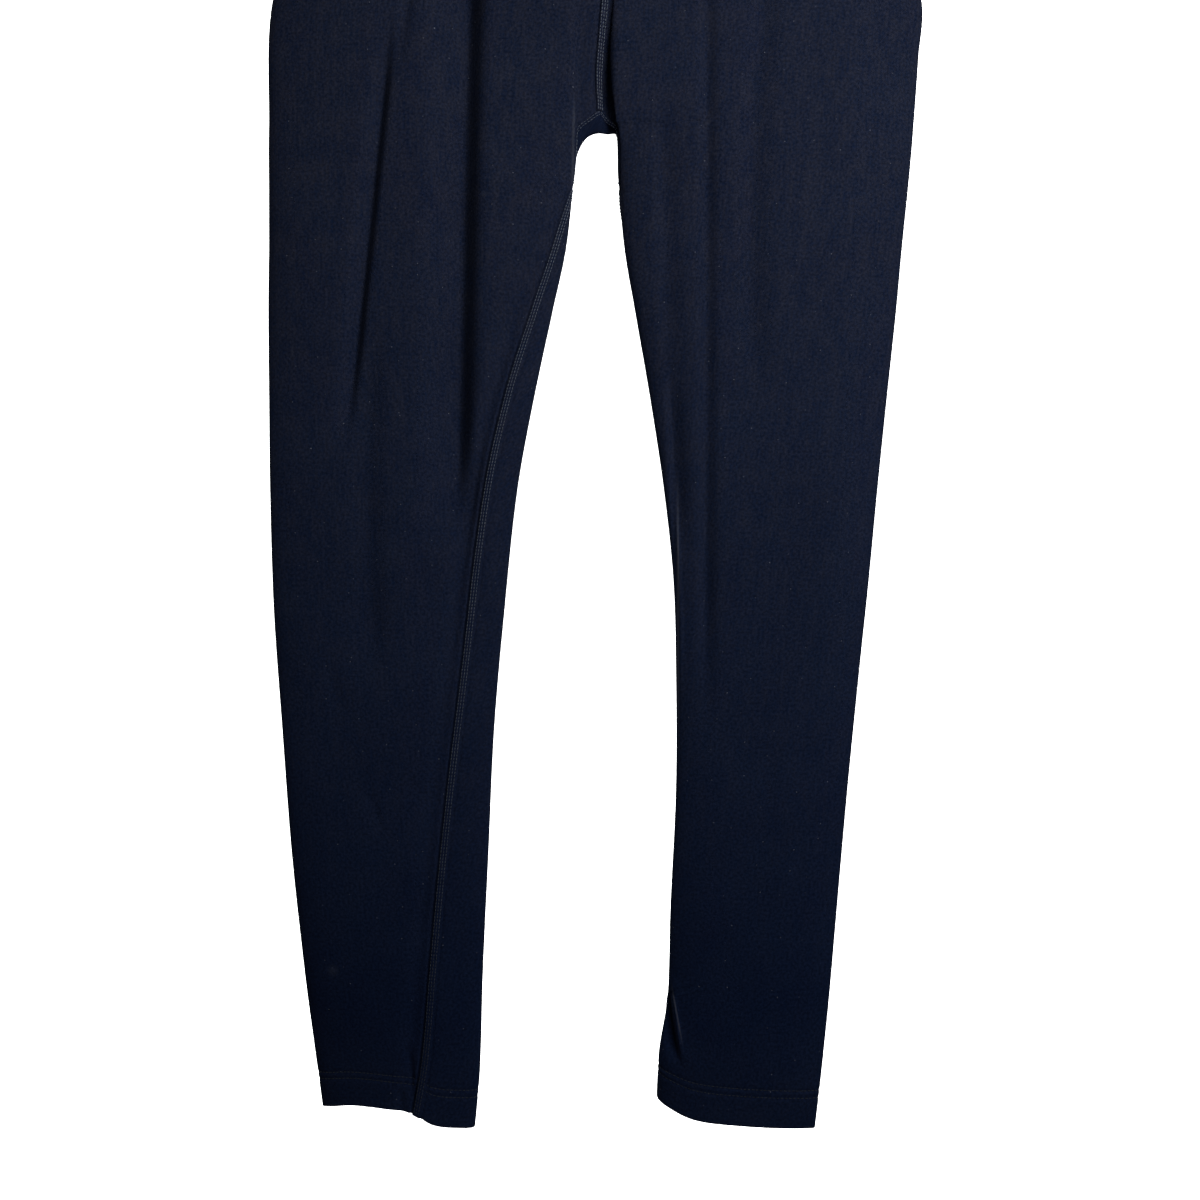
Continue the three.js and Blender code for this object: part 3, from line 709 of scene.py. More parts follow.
# Up the cloth, by its height in metres: how much painted light from above pales the navy, and how
# much the palest worn fibre shows, partly real and partly a painted sheen. Both are least on the
# shins and most on the thighs.
PAINTED_TOP_LIGHT = ((0.05, 0.3), (0.15, 0.1), (0.4, 0.75), (0.6, 0.9))
WEAR_AND_SHEEN = ((0.05, 0.2), (0.15, 0.08), (0.42, 0.4), (0.75, 0.8))
LINT_APART, LINT_RADIUS = 0.02, 0.0004


def jersey_material():
    """Cotton and elastane single jersey, weft-knitted and piece-dyed navy, then washed: a matte
    face with fine vertical wales, a cloudy fibre mottle, faint streaks down the knit and a
    little pale lint. It is painted paler up the thighs and darkest on the shins as light from
    above, with a painted sheen that grows the same way over the real worn mottle, and with
    painted highlights along some fold edges of the front."""
    sizes, colours = bpy.context.scene.leggings_sizes, bpy.context.scene.leggings_colours
    material, tree = new_material("navy_single_jersey")
    flat = node(tree, "ShaderNodeUVMap", uv_map="flat")["UV"]
    place = node(tree, "ShaderNodeTexCoord")["Object"]
    layers = {}
    for name, layer in LAYERS.items():
        shift, stretch = (layer.seed, layer.seed, 0), (1, layer.stretch, 1)
        placed = node(
            tree, "ShaderNodeMapping", {"Vector": flat, "Location": shift, "Scale": stretch}
        )[0]
        spots = node(
            tree,
            "ShaderNodeTexNoise",
            {"Vector": placed, "Scale": 1 / layer.size, "Detail": layer.detail, "Roughness": 0.6},
            noise_dimensions="2D",
        )["Fac"]
        stops = ((layer.low, layer.least), (layer.high, 1))
        layers[name] = node(tree, "ShaderNodeValToRGB", {"Fac": spots}, stops)[0]
    height = node(tree, "ShaderNodeSeparateXYZ", {"Vector": flat})["Y"]
    # painted light from above: by height, the jersey is painted paler up the thighs and darkest on
    # the shins
    top_light_share = node(tree, "ShaderNodeValToRGB", {"Fac": height}, PAINTED_TOP_LIGHT)[0]
    # partly real worn fibre and partly a painted sheen, both growing up the thighs
    wear_and_sheen_share = node(tree, "ShaderNodeValToRGB", {"Fac": height}, WEAR_AND_SHEEN)[0]
    # the wales of the knit, drawn twice as coarse as the real 0.8 mm
    wales = node(
        tree,
        "ShaderNodeTexWave",
        {"Vector": flat, "Scale": 1 / (20 * sizes.wale_pitch), "Distortion": 0.6, "Detail": 2.0},
        wave_type="BANDS",
        bands_direction="X",
    )["Fac"]
    sums = []
    for parts in (
        ((top_light_share, 0.7), (layers["clouds"], 0.3)),
        ((layers["mottle"], 0.3), (layers["streaks"], 0.14), (layers["blots"], 0.17)),
        ((wales, 0.35), (layers["mottle"], 0.65)),
    ):
        total = 0.0
        for value, share in parts:
            terms = {0: value, 1: share, 2: total}
            total = node(tree, "ShaderNodeMath", terms, operation="MULTIPLY_ADD")[0]
        sums.append(total)
    # the first share mixes the real washed-out clouds with the painted light from above
    clouds_and_top_light, fibres_and_sheen, relief = sums
    # the worn mottle, shown as real worn fibre and as a painted sheen up the thighs
    fibres_and_sheen = node(tree, "ShaderNodeMath", {0: fibres_and_sheen, 1: wear_and_sheen_share}, operation="MULTIPLY")[0]

    # lint: tiny pale fibres caught in the face, one in every few centimetres
    placed = node(tree, "ShaderNodeMapping", {"Vector": flat, "Location": (1.3, 1.3, 0)})[0]
    cells = node(
        tree,
        "ShaderNodeTexVoronoi",
        {"Vector": placed, "Scale": 1 / LINT_APART, "Randomness": 1.0},
        voronoi_dimensions="2D",
    )
    reach = {0: cells["Distance"], 1: LINT_RADIUS / LINT_APART}
    near = node(tree, "ShaderNodeMath", reach, operation="LESS_THAN")[0]
    shade = node(tree, "ShaderNodeSeparateColor", {"Color": cells["Color"]})[0]
    shade = node(tree, "ShaderNodeValToRGB", {"Fac": shade}, ((0.4, 0), (1, 0.07)))[0]
    pale = [node(tree, "ShaderNodeMath", {0: near, 1: shade}, operation="MULTIPLY")[0]]
    # larger specks and smudges, where they lie on the garment
    for speck in SPECKS:
        scale = [share / speck.radius for share in (1, speck.depth_share, 1)]
        shift = [-at * size for at, size in zip(speck.at, scale)]
        apart = node(
            tree, "ShaderNodeMapping", {"Vector": place, "Location": shift, "Scale": scale}
        )[0]
        far = node(tree, "ShaderNodeVectorMath", {0: apart}, operation="LENGTH")["Value"]
        stops = ((speck.core, speck.strength), (1, 0))
        pale.append(node(tree, "ShaderNodeValToRGB", {"Fac": far}, stops)[0])
    # painted highlights along the fold edges of the front, where they catch the light
    spot = node(tree, "ShaderNodeSeparateXYZ", {"Vector": place})
    is_front = node(tree, "ShaderNodeMath", {0: spot["Y"], 1: 0.002}, operation="LESS_THAN")[0]
    for edge in PAINTED_HIGHLIGHTS:
        tall = edge.z_end - edge.z
        rise = {0: spot["Z"], 1: 1 / tall, 2: -edge.z / tall}
        along = node(tree, "ShaderNodeMath", rise, operation="MULTIPLY_ADD")[0]
        run = {0: along, 1: edge.x_end - edge.x, 2: edge.x}
        middle = node(tree, "ShaderNodeMath", run, operation="MULTIPLY_ADD")[0]
        aside = {0: spot["X"], 1: middle}
        aside = node(tree, "ShaderNodeMath", aside, operation="SUBTRACT")[0]
        aside = node(tree, "ShaderNodeMath", {0: aside}, operation="ABSOLUTE")[0]
        aside = {0: aside, 1: 1 / edge.width}
        aside = node(tree, "ShaderNodeMath", aside, operation="MULTIPLY")[0]
        stops = ((0.4, edge.strength), (1, 0))
        share = node(tree, "ShaderNodeValToRGB", {"Fac": aside}, stops)[0]
        stops = ((0, 0), (0.25, 1), (0.7, 1), (1, 0))
        ends = node(tree, "ShaderNodeValToRGB", {"Fac": along}, stops)[0]
        for other in (ends, is_front):
            share = node(tree, "ShaderNodeMath", {0: share, 1: other}, operation="MULTIPLY")[0]
        pale.append(share)

    colour = linear(colours.jersey_deep)
    for other, share, how in (
        (linear(colours.jersey), clouds_and_top_light, "MIX"),
        (linear(colours.jersey_worn_sheen), fibres_and_sheen, "MIX"),
        (layers["grain"], 1.0, "MULTIPLY"),
        # the lint, the specks and the painted highlights, all in the lint's pale colour
        *((linear(colours.lint), share, "MIX") for share in pale),
    ):
        inputs = {"Color1": colour, "Color2": other, "Fac": share}
        colour = node(tree, "ShaderNodeMixRGB", inputs, blend_type=how)["Color"]
    bump = node(tree, "ShaderNodeBump", {"Height": relief, "Strength": 0.35, "Distance": 0.0003})
    shader = node(
        tree,
        "ShaderNodeBsdfPrincipled",
        {
            "Base Color": colour,
            "Roughness": 0.9,
            "IOR": 1.5,
            "Specular IOR Level": 0.0,
            "Sheen Weight": 0.01,
            "Sheen Roughness": 0.5,
            "Sheen Tint": (0.5, 0.55, 0.7, 1),
            "Normal": bump["Normal"],
        },
    )
    node(tree, "ShaderNodeOutputMaterial", {"Surface": shader["BSDF"]})
    return material


def thread_material():
    """Textured polyester sewing thread, spun from crimped filaments and dyed navy: a shade paler
    than the jersey because it stands up to the light, with a fine twist that has some fuzz. Its
    lit and shaded sides are painted as two colours mixed at random, and it is painted darker
    towards the hems, as shade for the light from above."""
    colours = bpy.context.scene.leggings_colours
    material, tree = new_material("navy_textured_thread")
    place = node(tree, "ShaderNodeTexCoord")["Object"]
    fuzz = node(
        tree, "ShaderNodeTexNoise", {"Vector": place, "Scale": 1 / 0.0006, "Detail": 2.0}
    )["Fac"]
    # like the cloth it is painted darker on the shins and at the hems, as shade for the light from
    # above
    height = node(tree, "ShaderNodeSeparateXYZ", {"Vector": place})["Z"]
    height = node(tree, "ShaderNodeMath", {0: height, 1: 1.0}, operation="ADD")[0]
    top_light_share = ((0.06, 0.16), (0.16, 0.3), (0.5, 0.75), (0.75, 1))
    # the thread's painted lit and shaded sides, mixed at random by the fuzz
    lit_side_share = node(tree, "ShaderNodeValToRGB", {"Fac": fuzz}, ((0.3, 0), (0.7, 1)))[0]
    top_light_share = node(tree, "ShaderNodeValToRGB", {"Fac": height}, top_light_share)[0]
    colour = linear(colours.thread_deep)
    for other, share, how in ((linear(colours.thread), lit_side_share, "MIX"), (top_light_share, 1.0, "MULTIPLY")):
        inputs = {"Color1": colour, "Color2": other, "Fac": share}
        colour = node(tree, "ShaderNodeMixRGB", inputs, blend_type=how)["Color"]
    bump = node(tree, "ShaderNodeBump", {"Height": fuzz, "Strength": 0.4, "Distance": 0.0001})
    shader = node(
        tree,
        "ShaderNodeBsdfPrincipled",
        {
            "Base Color": colour,
            "Roughness": 0.75,
            "IOR": 1.5,
            "Specular IOR Level": 0.02,
            "Sheen Weight": 0.02,
            "Sheen Roughness": 0.4,
            "Normal": bump["Normal"],
        },
    )
    node(tree, "ShaderNodeOutputMaterial", {"Surface": shader["BSDF"]})
    return material


def stage_material():
    """Smooth white card with a faint tooth, lit a little from behind so that it stays pale."""
    material, tree = new_material("white_card")
    place = node(tree, "ShaderNodeTexCoord")["Object"]
    tooth = node(tree, "ShaderNodeTexNoise", {"Vector": place, "Scale": 60.0})["Fac"]
    share = node(tree, "ShaderNodeValToRGB", {"Fac": tooth}, ((0, 0), (1, 0.06)))[0]
    white = linear(bpy.context.scene.leggings_colours.floor)
    inputs = {"Fac": share, "Color1": white, "Color2": (0.8, 0.8, 0.8, 1)}
    colour = node(tree, "ShaderNodeMixRGB", inputs)["Color"]
    shader = node(
        tree,
        "ShaderNodeBsdfPrincipled",
        {
            "Base Color": colour,
            "Roughness": 0.9,
            "Emission Color": (1, 1, 1, 1),
            "Emission Strength": 0.8,
        },
    )
    node(tree, "ShaderNodeOutputMaterial", {"Surface": shader["BSDF"]})
    return material


def soft_room():
    """A pale room: bright where it is seen, and dim as a light so that the folds keep shade."""
    world = bpy.data.worlds.new("soft_room")
    world.use_nodes = True
    tree = world.node_tree
    tree.nodes.clear()
    seen = node(tree, "ShaderNodeBackground", {"Color": (0.93, 0.93, 0.94, 1), "Strength": 1.0})
    light = node(tree, "ShaderNodeBackground", {"Color": (0.95, 0.97, 1, 1), "Strength": 0.1})
    is_seen = node(tree, "ShaderNodeLightPath")["Is Camera Ray"]
    both = node(tree, "ShaderNodeMixShader", {0: is_seen, 1: light[0], 2: seen[0]})
    node(tree, "ShaderNodeOutputWorld", {"Surface": both[0]})
    return world


def shared(name, maker):
    """A material that several pieces share, made once."""
    return bpy.data.materials.get(name) or maker()


def jersey():
    return shared("navy_single_jersey", jersey_material)


def thread():
    return shared("navy_textured_thread", thread_material)


# Sizes and colours that a user would change


def length(name, default, description):
    return FloatProperty(name=name, description=description, default=default, unit="LENGTH")


def hue(name, default, description):
    return StringProperty(name=name, description=description, default=default)


class LeggingsSizes(bpy.types.PropertyGroup):
    cloth: length("Jersey thickness", 0.001, "Thickness of the jersey")
    band_roll: length("Waistband roll", 0.0017, "Radius of the waistband's fold at the top")
    hem_depth: length("Hem depth", 0.028, "How far the turned-up hem reaches inside the leg")
    hem_roll: length("Hem roll", 0.00115, "Radius of the fold along the leg's lower edge")
    seam_width: length("Seam width", 0.006, "Width of a flatlocked seam")
    seam_height: length("Seam height", 0.0008, "How far a seam stands up from the cloth")
    stitch: length("Stitch length", 0.0025, "Length of one stitch of the seams")
    thread: length("Thread thickness", 0.00055, "Thickness of the thread as it lies on the cloth")
    wale_pitch: length("Wale pitch", 0.0016, "Distance between the drawn ribs of the knit")
    needle_rows: IntProperty(
        name="Needle rows",
        description="Rows of needle stitches along a flatlocked seam",
        default=3,
        min=2,
        max=6,
    )


class LeggingsColours(bpy.types.PropertyGroup):
    # the deep and the common jersey are mixed by the washed-out clouds and by painted light from
    # above: the deep one is painted on the shins, the common one up the thighs
    jersey_deep: hue("Deep jersey", "#070e1f", "Darkest shade of the jersey")
    jersey: hue("Jersey", "#0d1526", "Common shade of the jersey")
    # the palest worn fibre, laid on partly as real worn fibre and partly as a painted sheen up the
    # thighs
    jersey_worn_sheen: hue("Worn jersey", "#29282d", "Palest fibres of the jersey")
    thread_deep: hue("Thread shade", "#2c3038", "Shaded side of the thread")
    thread: hue("Thread", "#565c66", "Lit side of the thread")
    lint: hue("Lint", "#b9bcc6", "Colour of the lint on the cloth")
    floor: hue("Floor", "#f4f4f6", "Colour of the floor and the backdrop")


# The pieces


def leg_levels():
    """A panel's levels from its top edge, inside the waistband, to the start of the hem's roll."""
    return [
        *steps(BAND_Z + 5, BAND_Z - 1, 2),
        *steps(BAND_Z - 1, GUSSET_BACK_Z, 4.2),
        *steps(GUSSET_BACK_Z, GUSSET_SIDE_Z, 2.6),
        *steps(GUSSET_SIDE_Z, HEM_Z + 34, 4.4),
        *steps(HEM_Z + 34, HEM_Z + 18, 1.1),
        *steps(HEM_Z + 18, HEM_Z + 1.2, 2.4),
    ]


def leg_piece(leg, name):
    sizes = bpy.context.scene.leggings_sizes
    roll = sizes.hem_roll / MM
    outline = Outline(leg, [*leg_levels(), HEM_Z + roll], hem_gather=HEM_GATHER)
    strip = np.array([0.15, 1.3, 2.5, 3.4, 3.9, 4.4, 4.9, 5.5, 6.2, 7, 8]) / 8
    far = outline.columns(strip, 92, 66)
    rows = list(outline.at(far))
    flat_z = list(outline.levels)
    # the lower edge rolls under and runs up inside as the hem
    edge = far[-1][None, :]
    bottom = Outline(leg, [HEM_Z + roll])
    for angle in np.linspace(0, np.pi, 7)[1:]:
        row = bottom.at(edge, -roll * (1 - np.cos(angle)))[0]
        row[:, 2] -= roll * np.sin(angle)
        rows.append(row)
        flat_z.append(flat_z[-1] - roll * np.pi / 6)
    up = np.linspace(roll, sizes.hem_depth / MM, 10)[1:]
    share = far[-1] / outline.total[-1]
    for height in up:
        level = Outline(leg, [HEM_Z + height])
        rows.append(level.at(share * level.total[:, None], -2 * roll)[0])
    flat_z.extend(flat_z[-1] - (up - roll))
    points = np.array(rows)
    spread = far - outline.outer[:, None]
    spread = np.concatenate([spread, np.repeat(spread[-1:], len(rows) - len(far), 0)])
    tall = np.broadcast_to(np.array(flat_z)[:, None] + CUT_HEIGHT, spread.shape)
    flat = np.stack([spread + CUT_X[leg.side], tall], -1)
    obj = cloth(name, points, flat, jersey())
    turn_out(obj, points[60, len(strip) + 30] * MM, (0, -1, 0))
    return thicken(obj, sizes.cloth), outline


def dress(obj, slot, *nodes):
    """Puts a piece on the garment's body in place of its solids. slot is not used."""
    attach(obj, "root")
    if nodes:
        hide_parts(*nodes)
    return obj


class LEGGINGS_OT_legs(bpy.types.Operator):
    """Makes both leg panels with their turned-up hems"""

    bl_idname = "leggings.legs"
    bl_label = "Leg panels"

    def execute(self, context):
        for leg in LEGS:
            name = f"{leg.side}_leg_jersey"
            obj, outline = leg_piece(leg, name)
            dress(obj, "jersey", f"{leg.side}_leg", f"{leg.side}_hem")
        return {"FINISHED"}


class LEGGINGS_OT_waistband(bpy.types.Operator):
    """Makes the waistband, jersey folded over its elastic"""

    bl_idname = "leggings.waistband"
    bl_label = "Waistband"

    def execute(self, context):
        sizes = context.scene.leggings_sizes
        roll = sizes.band_roll / MM
        around = 220
        halves = []
        for leg in LEGS:
            outline = Outline(leg, [BAND_Z])
            far = np.linspace(0, outline.total[0], around + 1)[None, :]
            flat_points = outline.at(far)[0]
            normal = outline.at(far, 1.0)[0] - flat_points
            halves.append((flat_points, normal))
        ring = np.concatenate([halves[0][0][:-1], halves[1][0][::-1]])
        normal = unit(np.concatenate([halves[0][1][:-1], halves[1][1][::-1]]))
        girth = np.concatenate([[0], np.cumsum(np.linalg.norm(np.diff(ring, axis=0), axis=1))])
        outer, inner = 1.25, 1.25 - 2 * roll
        path = [(0.45, BAND_Z + 1.4), (0.6, BAND_Z + 0.3), (0.95, BAND_Z), (outer, BAND_Z + 0.5)]
        path += [(outer, z) for z in np.linspace(BAND_Z + 1.6, -roll, 22)]
        centre = (outer + inner) / 2
        for angle in np.linspace(0, np.pi, 9)[1:]:
            path.append((centre + roll * np.cos(angle), -roll + roll * np.sin(angle)))
        path += [(inner, z) for z in np.linspace(-roll, BAND_Z + 0.6, 14)[1:]]
        rows, lengths = [], []
        for out, z in path:
            narrowing = np.interp(z, [BAND_Z, BAND_Z / 2, 0], [1, 0.98, 0.97])
            body = smooth((z - BAND_Z) / 8) * smooth(-z / 6 + 0.2)
            side = 1 if out > centre else -1
            # the elastic draws the band into fine upright ripples
            uneven = 2.4 * soft_noise(girth, 0 * girth, 30, 5)
            ripple = 0.22 * np.sin(FULL_TURN * girth / 6.3 + uneven)
            ripple = ripple * (0.6 + 0.5 * soft_noise(girth, girth * 0 + z, 14, 6)) * body
            behind = normal[:, 1] > 0
            join = 0.8 * np.exp(-(((ring[:, 0] - CENTRE[0].x) / 0.8) ** 2)) * behind * body
            point = ring + normal * (out + side * (ripple - join))[:, None]
            point[:, 0] *= narrowing
            point[:, 2] = z
            rows.append(point)
        points = np.array(rows)
        points[:, -1] = points[:, 0]
        for a, b in zip(path[:-1], path[1:]):
            lengths.append(np.hypot(a[0] - b[0], a[1] - b[1]))
        down = np.concatenate([[0], np.cumsum(lengths)])
        grid = np.stack(np.broadcast_arrays(girth[None, :], BAND_CUT_HEIGHT - down[:, None]), -1)
        obj = cloth("waistband_jersey", points, grid, jersey(), closed=True)
        front = points[14, np.argmin(points[14, :, 1])]
        turn_out(obj, front * MM, (0, -1, 0))
        thicken(obj, sizes.cloth * 0.9)
        dress(obj, "jersey", "waistband")
        return {"FINISHED"}


def gusset_grid(across, along):
    """The gusset's points: a saddle that hangs from the panels' edges at the front and the back,
    with two sides that run down the insides of the thighs to a point and up again."""
    drop, clear, short = 0.5, 0.35, 2.0
    turn = GUSSET_TURN_Z - drop
    tip = GUSSET_SIDE_Z + short
    half = np.linspace(turn, tip, along // 2 + 1)
    path = np.concatenate([half, half[::-1][1:]])
    way = np.concatenate([np.full(len(half) - 1, -1), [0], np.full(len(half) - 1, 1)])
    v = np.linspace(0, 1, len(path))[:, None]
    rows = np.zeros((len(path), across + 1, 3))
    for j in range(across + 1):
        angle = np.pi * j / across
        leg = RIGHT if 2 * j < across else LEFT
        share = abs(np.cos(angle))
        steepness = 1.15 if leg is RIGHT else 5
        sideness = (1 - np.sin(angle)) ** steepness
        edges = []
        for is_front in (True, False):
            z = mix(GUSSET_FRONT_Z if is_front else GUSSET_BACK_Z, GUSSET_TURN_Z, share)
            place = share - 1 if is_front else FULL_TURN + 1 - share
            x, y = surface_point(leg, z, place)
            edges.append(np.array([float(x), float(y), z - drop]))
        front, back = edges
        t = v[:, 0]
        floor = np.where(way < 0, read(VALLEY, "front", path), read(VALLEY, "back", path))
        side_y = way * np.maximum(0, floor - clear)
        side_x = mix(read(CENTRE, "x", path), read(leg.rows, "inner", path), share)
        hang = 4 * t * (1 - t)
        x = mix(mix(front[0], back[0], t), side_x, hang)
        y = mix(mix(front[1], back[1], t), side_y, sideness)
        level = mix(front[2], back[2], t)
        sag = (mix(front[2], back[2], 0.5) - CROTCH_Z) * hang
        fall = path - turn
        rows[:, j] = np.stack([x, y, level - sag * (1 - sideness) + fall * sideness], -1)
    return rows


class LEGGINGS_OT_gusset(bpy.types.Operator):
    """Makes the gusset under the crotch"""

    bl_idname = "leggings.gusset"
    bl_label = "Gusset"

    def execute(self, context):
        points = gusset_grid(48, 48)
        across = np.linalg.norm(np.diff(points, axis=1), axis=2).cumsum(axis=1)
        along = np.linalg.norm(np.diff(points, axis=0), axis=2).cumsum(axis=0)
        u = np.concatenate([np.zeros((len(points), 1)), across], axis=1)
        v = np.concatenate([np.zeros((1, points.shape[1])), along], axis=0)
        flat = np.stack([u + SMALL_CUT_X, v + GUSSET_SHADED_CUT_HEIGHT], -1)
        obj = cloth("gusset_jersey", points, flat, jersey())
        turn_out(obj, points[24, 24] * MM, (0, 0, -1))
        thicken(obj, context.scene.leggings_sizes.cloth)
        dress(obj, "jersey", "gusset")
        return {"FINISHED"}


def seam_grid(sides, offsets, heights, top):
    """Points across a seam. sides gives, for the offsets below zero and above it, an outline and
    whether the seam is at its start. The seam thins out towards its top level."""
    columns = []
    for w, h in zip(offsets, heights):
        outline, from_start = sides[0] if w < 0 else sides[1]
        far = np.full((len(outline.levels), 1), abs(w))
        if not from_start:
            far = outline.total[:, None] - far
        thin = smooth((top - outline.levels) / 12)[:, None]
        columns.append(outline.at(far, h * thin)[:, 0])
    return np.stack(columns, axis=1)


def seam_profile(width, height):
    """A flatlocked seam's section: low edges and a rounded top, from below the cloth."""
    offsets = np.linspace(-width / 2, width / 2, 19)
    offsets = np.where(np.abs(offsets) < 0.01, 0.02, offsets)
    across = np.abs(2 * offsets / width)
    heights = height * (1 - across**4) - 0.12
    return offsets, heights


def seam_band(name, points, material):
    """The lapped edges of a flatlocked seam over its whole length."""
    girth = np.linalg.norm(np.diff(points, axis=1), axis=2).cumsum(axis=1)
    u = np.concatenate([np.zeros((len(points), 1)), girth], axis=1)
    flat = np.stack([u + SMALL_CUT_X, points[:, :, 2] + CUT_HEIGHT], -1)
    return cloth(name, points, flat, material)


def seam_stitches(left, middle, right, sizes, needle_offsets, width, fine):
    """Needle stitches in rows along a seam. left, middle and right are lines of points across it,
    and the rows lie at the given offsets. fine: the thread's share of its full thickness."""
    spots = []
    pitch = sizes.stitch / MM
    radius = sizes.thread / MM / 2 * fine
    length = np.concatenate([[0], np.cumsum(np.linalg.norm(np.diff(middle, axis=0), axis=1))])
    count = int(length[-1] / pitch)
    at = (np.arange(count) + 0.5) * pitch

    def along(line, where):
        return np.stack([np.interp(where, length, line[:, k]) for k in range(3)], -1)

    here = along(middle, at)
    ahead = unit(along(middle, at + 0.8) - along(middle, at - 0.8))
    across = unit(along(right, at) - along(left, at))
    out = unit(np.cross(ahead, across))
    up = along(middle, at) - (along(left, at) + along(right, at)) / 2
    out = np.where((out * up).sum(axis=1, keepdims=True) < 0, -out, out)
    for offset in needle_offsets:
        share = 2 * offset / width
        lift = radius * 0.35 - (share**4) * sizes.seam_height / MM
        spot = here + across * offset + out * lift
        spots.append(np.stack([spot, ahead * pitch * 0.41, across * radius, out * radius], 1))
    return np.concatenate(spots)


class LEGGINGS_OT_seams(bpy.types.Operator):
    """Makes the flatlocked inseams, rise seams and gusset seams"""

    bl_idname = "leggings.seams"
    bl_label = "Flatlocked seams"

    def execute(self, context):
        sizes = context.scene.leggings_sizes
        width = sizes.seam_width / MM
        offsets, heights = seam_profile(width, sizes.seam_height / MM)
        spread = np.linspace(-0.32, 0.32, sizes.needle_rows) * width
        threads = []

        def finish_seam(name, points, node_name, rows=spread, fine=1):
            obj = seam_band(name, points, jersey())
            half = points.shape[1] // 2
            middle = points[:, half]
            out = middle - (points[:, 0] + points[:, -1]) / 2
            k = len(points) // 2
            turn_out(obj, middle[k] * MM, out[k])
            thicken(obj, 0.0004)
            dress(obj, "thread", *([node_name] if node_name else []))
            threads.append(
                seam_stitches(points[:, 0], middle, points[:, -1], sizes, rows, width, fine)
            )

        for leg in LEGS:
            levels = [*steps(GUSSET_SIDE_Z + 1, HEM_Z, 1.2), HEM_Z]
            outline = Outline(leg, levels)
            points = seam_grid([(outline, False), (outline, True)], offsets, heights, levels[0] + 1)
            finish_seam(f"{leg.side}_inseam_tape", points, f"{leg.side}_inseam")
        for is_front, lowest in ((True, GUSSET_FRONT_Z), (False, GUSSET_BACK_Z)):
            levels = steps(BAND_Z - 0.5, lowest, 1.2)
            sides = [(Outline(leg, levels), is_front) for leg in LEGS]
            points = seam_grid(sides, offsets, heights, 0)
            word = "front" if is_front else "back"
            finish_seam(f"{word}_rise_tape", points, f"{word}_rise_seam")
        for leg in LEGS:
            points = self.gusset_seam(leg, offsets * 0.5, heights * 0.5)
            finish_seam(f"{leg.side}_gusset_tape", points, None, spread[[0, -1]] * 0.45, 0.55)
        obj = stitches("seam_stitching", np.concatenate(threads), thread())
        dress(obj, "thread")
        return {"FINISHED"}

    def gusset_seam(self, leg, offsets, heights):
        """Points across the seam that joins the gusset to one panel, from the centre front down the
        inside of the thigh to the inseam and up again to the centre back."""
        lines = []
        for is_front, top in ((True, GUSSET_FRONT_Z), (False, GUSSET_BACK_Z)):
            levels = steps(top, GUSSET_TURN_Z, 0.5) + steps(GUSSET_TURN_Z, GUSSET_SIDE_Z + 2, 1.4)
            outline = Outline(leg, levels)
            zero = np.zeros((len(levels), 1))
            far = zero if is_front else outline.total[:, None]
            inward = 1.5 if is_front else -1.5
            edge = outline.at(far)[:, 0]
            away = outline.at(far + inward)[:, 0] - edge
            out = outline.at(far, 1.0)[:, 0] - edge
            lines.append((edge, away, out))
        edge = np.concatenate([lines[0][0], lines[1][0][::-1]])
        away = np.concatenate([lines[0][1], lines[1][1][::-1]])
        out = unit(np.concatenate([lines[0][2], lines[1][2][::-1]]))
        for _ in range(12):
            for line in (edge, away, out):
                line[1:-1] = (line[:-2] + 2 * line[1:-1] + line[2:]) / 4
        ahead = unit(np.gradient(edge, axis=0))
        away = unit(away - ahead * (away * ahead).sum(axis=1, keepdims=True))
        out = unit(out - ahead * (out * ahead).sum(axis=1, keepdims=True))
        out = unit(out - away * (out * away).sum(axis=1, keepdims=True))
        flatter = 1 - 0.9 * np.exp(-(((edge[:, 2] - GUSSET_SIDE_Z) / 12) ** 2))
        return (
            edge[:, None, :]
            + away[:, None, :] * offsets[None, :, None]
            + out[:, None, :] * ((heights[None, :, None] + 0.1) * flatter[:, None, None])
        )


class LEGGINGS_OT_stitching(bpy.types.Operator):
    """Makes the twin-needle rows of both hems and of the waistband's seam"""

    bl_idname = "leggings.stitching"
    bl_label = "Hem and waist stitching"

    def execute(self, context):
        sizes = context.scene.leggings_sizes
        radius, pitch = sizes.thread / MM / 2, ROW_STITCH
        for name, levels in (
            ("hem_stitching", [HEM_Z + row for row in HEM_ROWS]),
            ("waist_stitching", [BAND_Z - 4, BAND_Z - 9]),
        ):
            spots = []
            for leg in LEGS:
                outline = Outline(leg, levels, hem_gather=HEM_GATHER)
                for k in range(len(levels)):
                    count = int(outline.total[k] / pitch)
                    at = (np.arange(count) + 0.5) * outline.total[k] / count
                    grid = np.broadcast_to(at, (len(levels), count))
                    here = outline.at(grid, radius * 0.35)[k]
                    ahead = unit(outline.at(grid + 0.6)[k] - outline.at(grid - 0.6)[k])
                    out = unit(outline.at(grid, 1.0)[k] - outline.at(grid)[k])
                    side = unit(np.cross(ahead, out))
                    spots.append(
                        np.stack([here, ahead * pitch * 0.42, side * radius, out * radius * 0.8], 1)
                    )
            obj = stitches(name, np.concatenate(spots), thread())
            dress(obj, "thread")
        return {"FINISHED"}


FLOOR_Z = -1.25
BACK_Y = 3.2
SWEEP_RADIUS = 0.9  # of the curve from the floor up to the backdrop
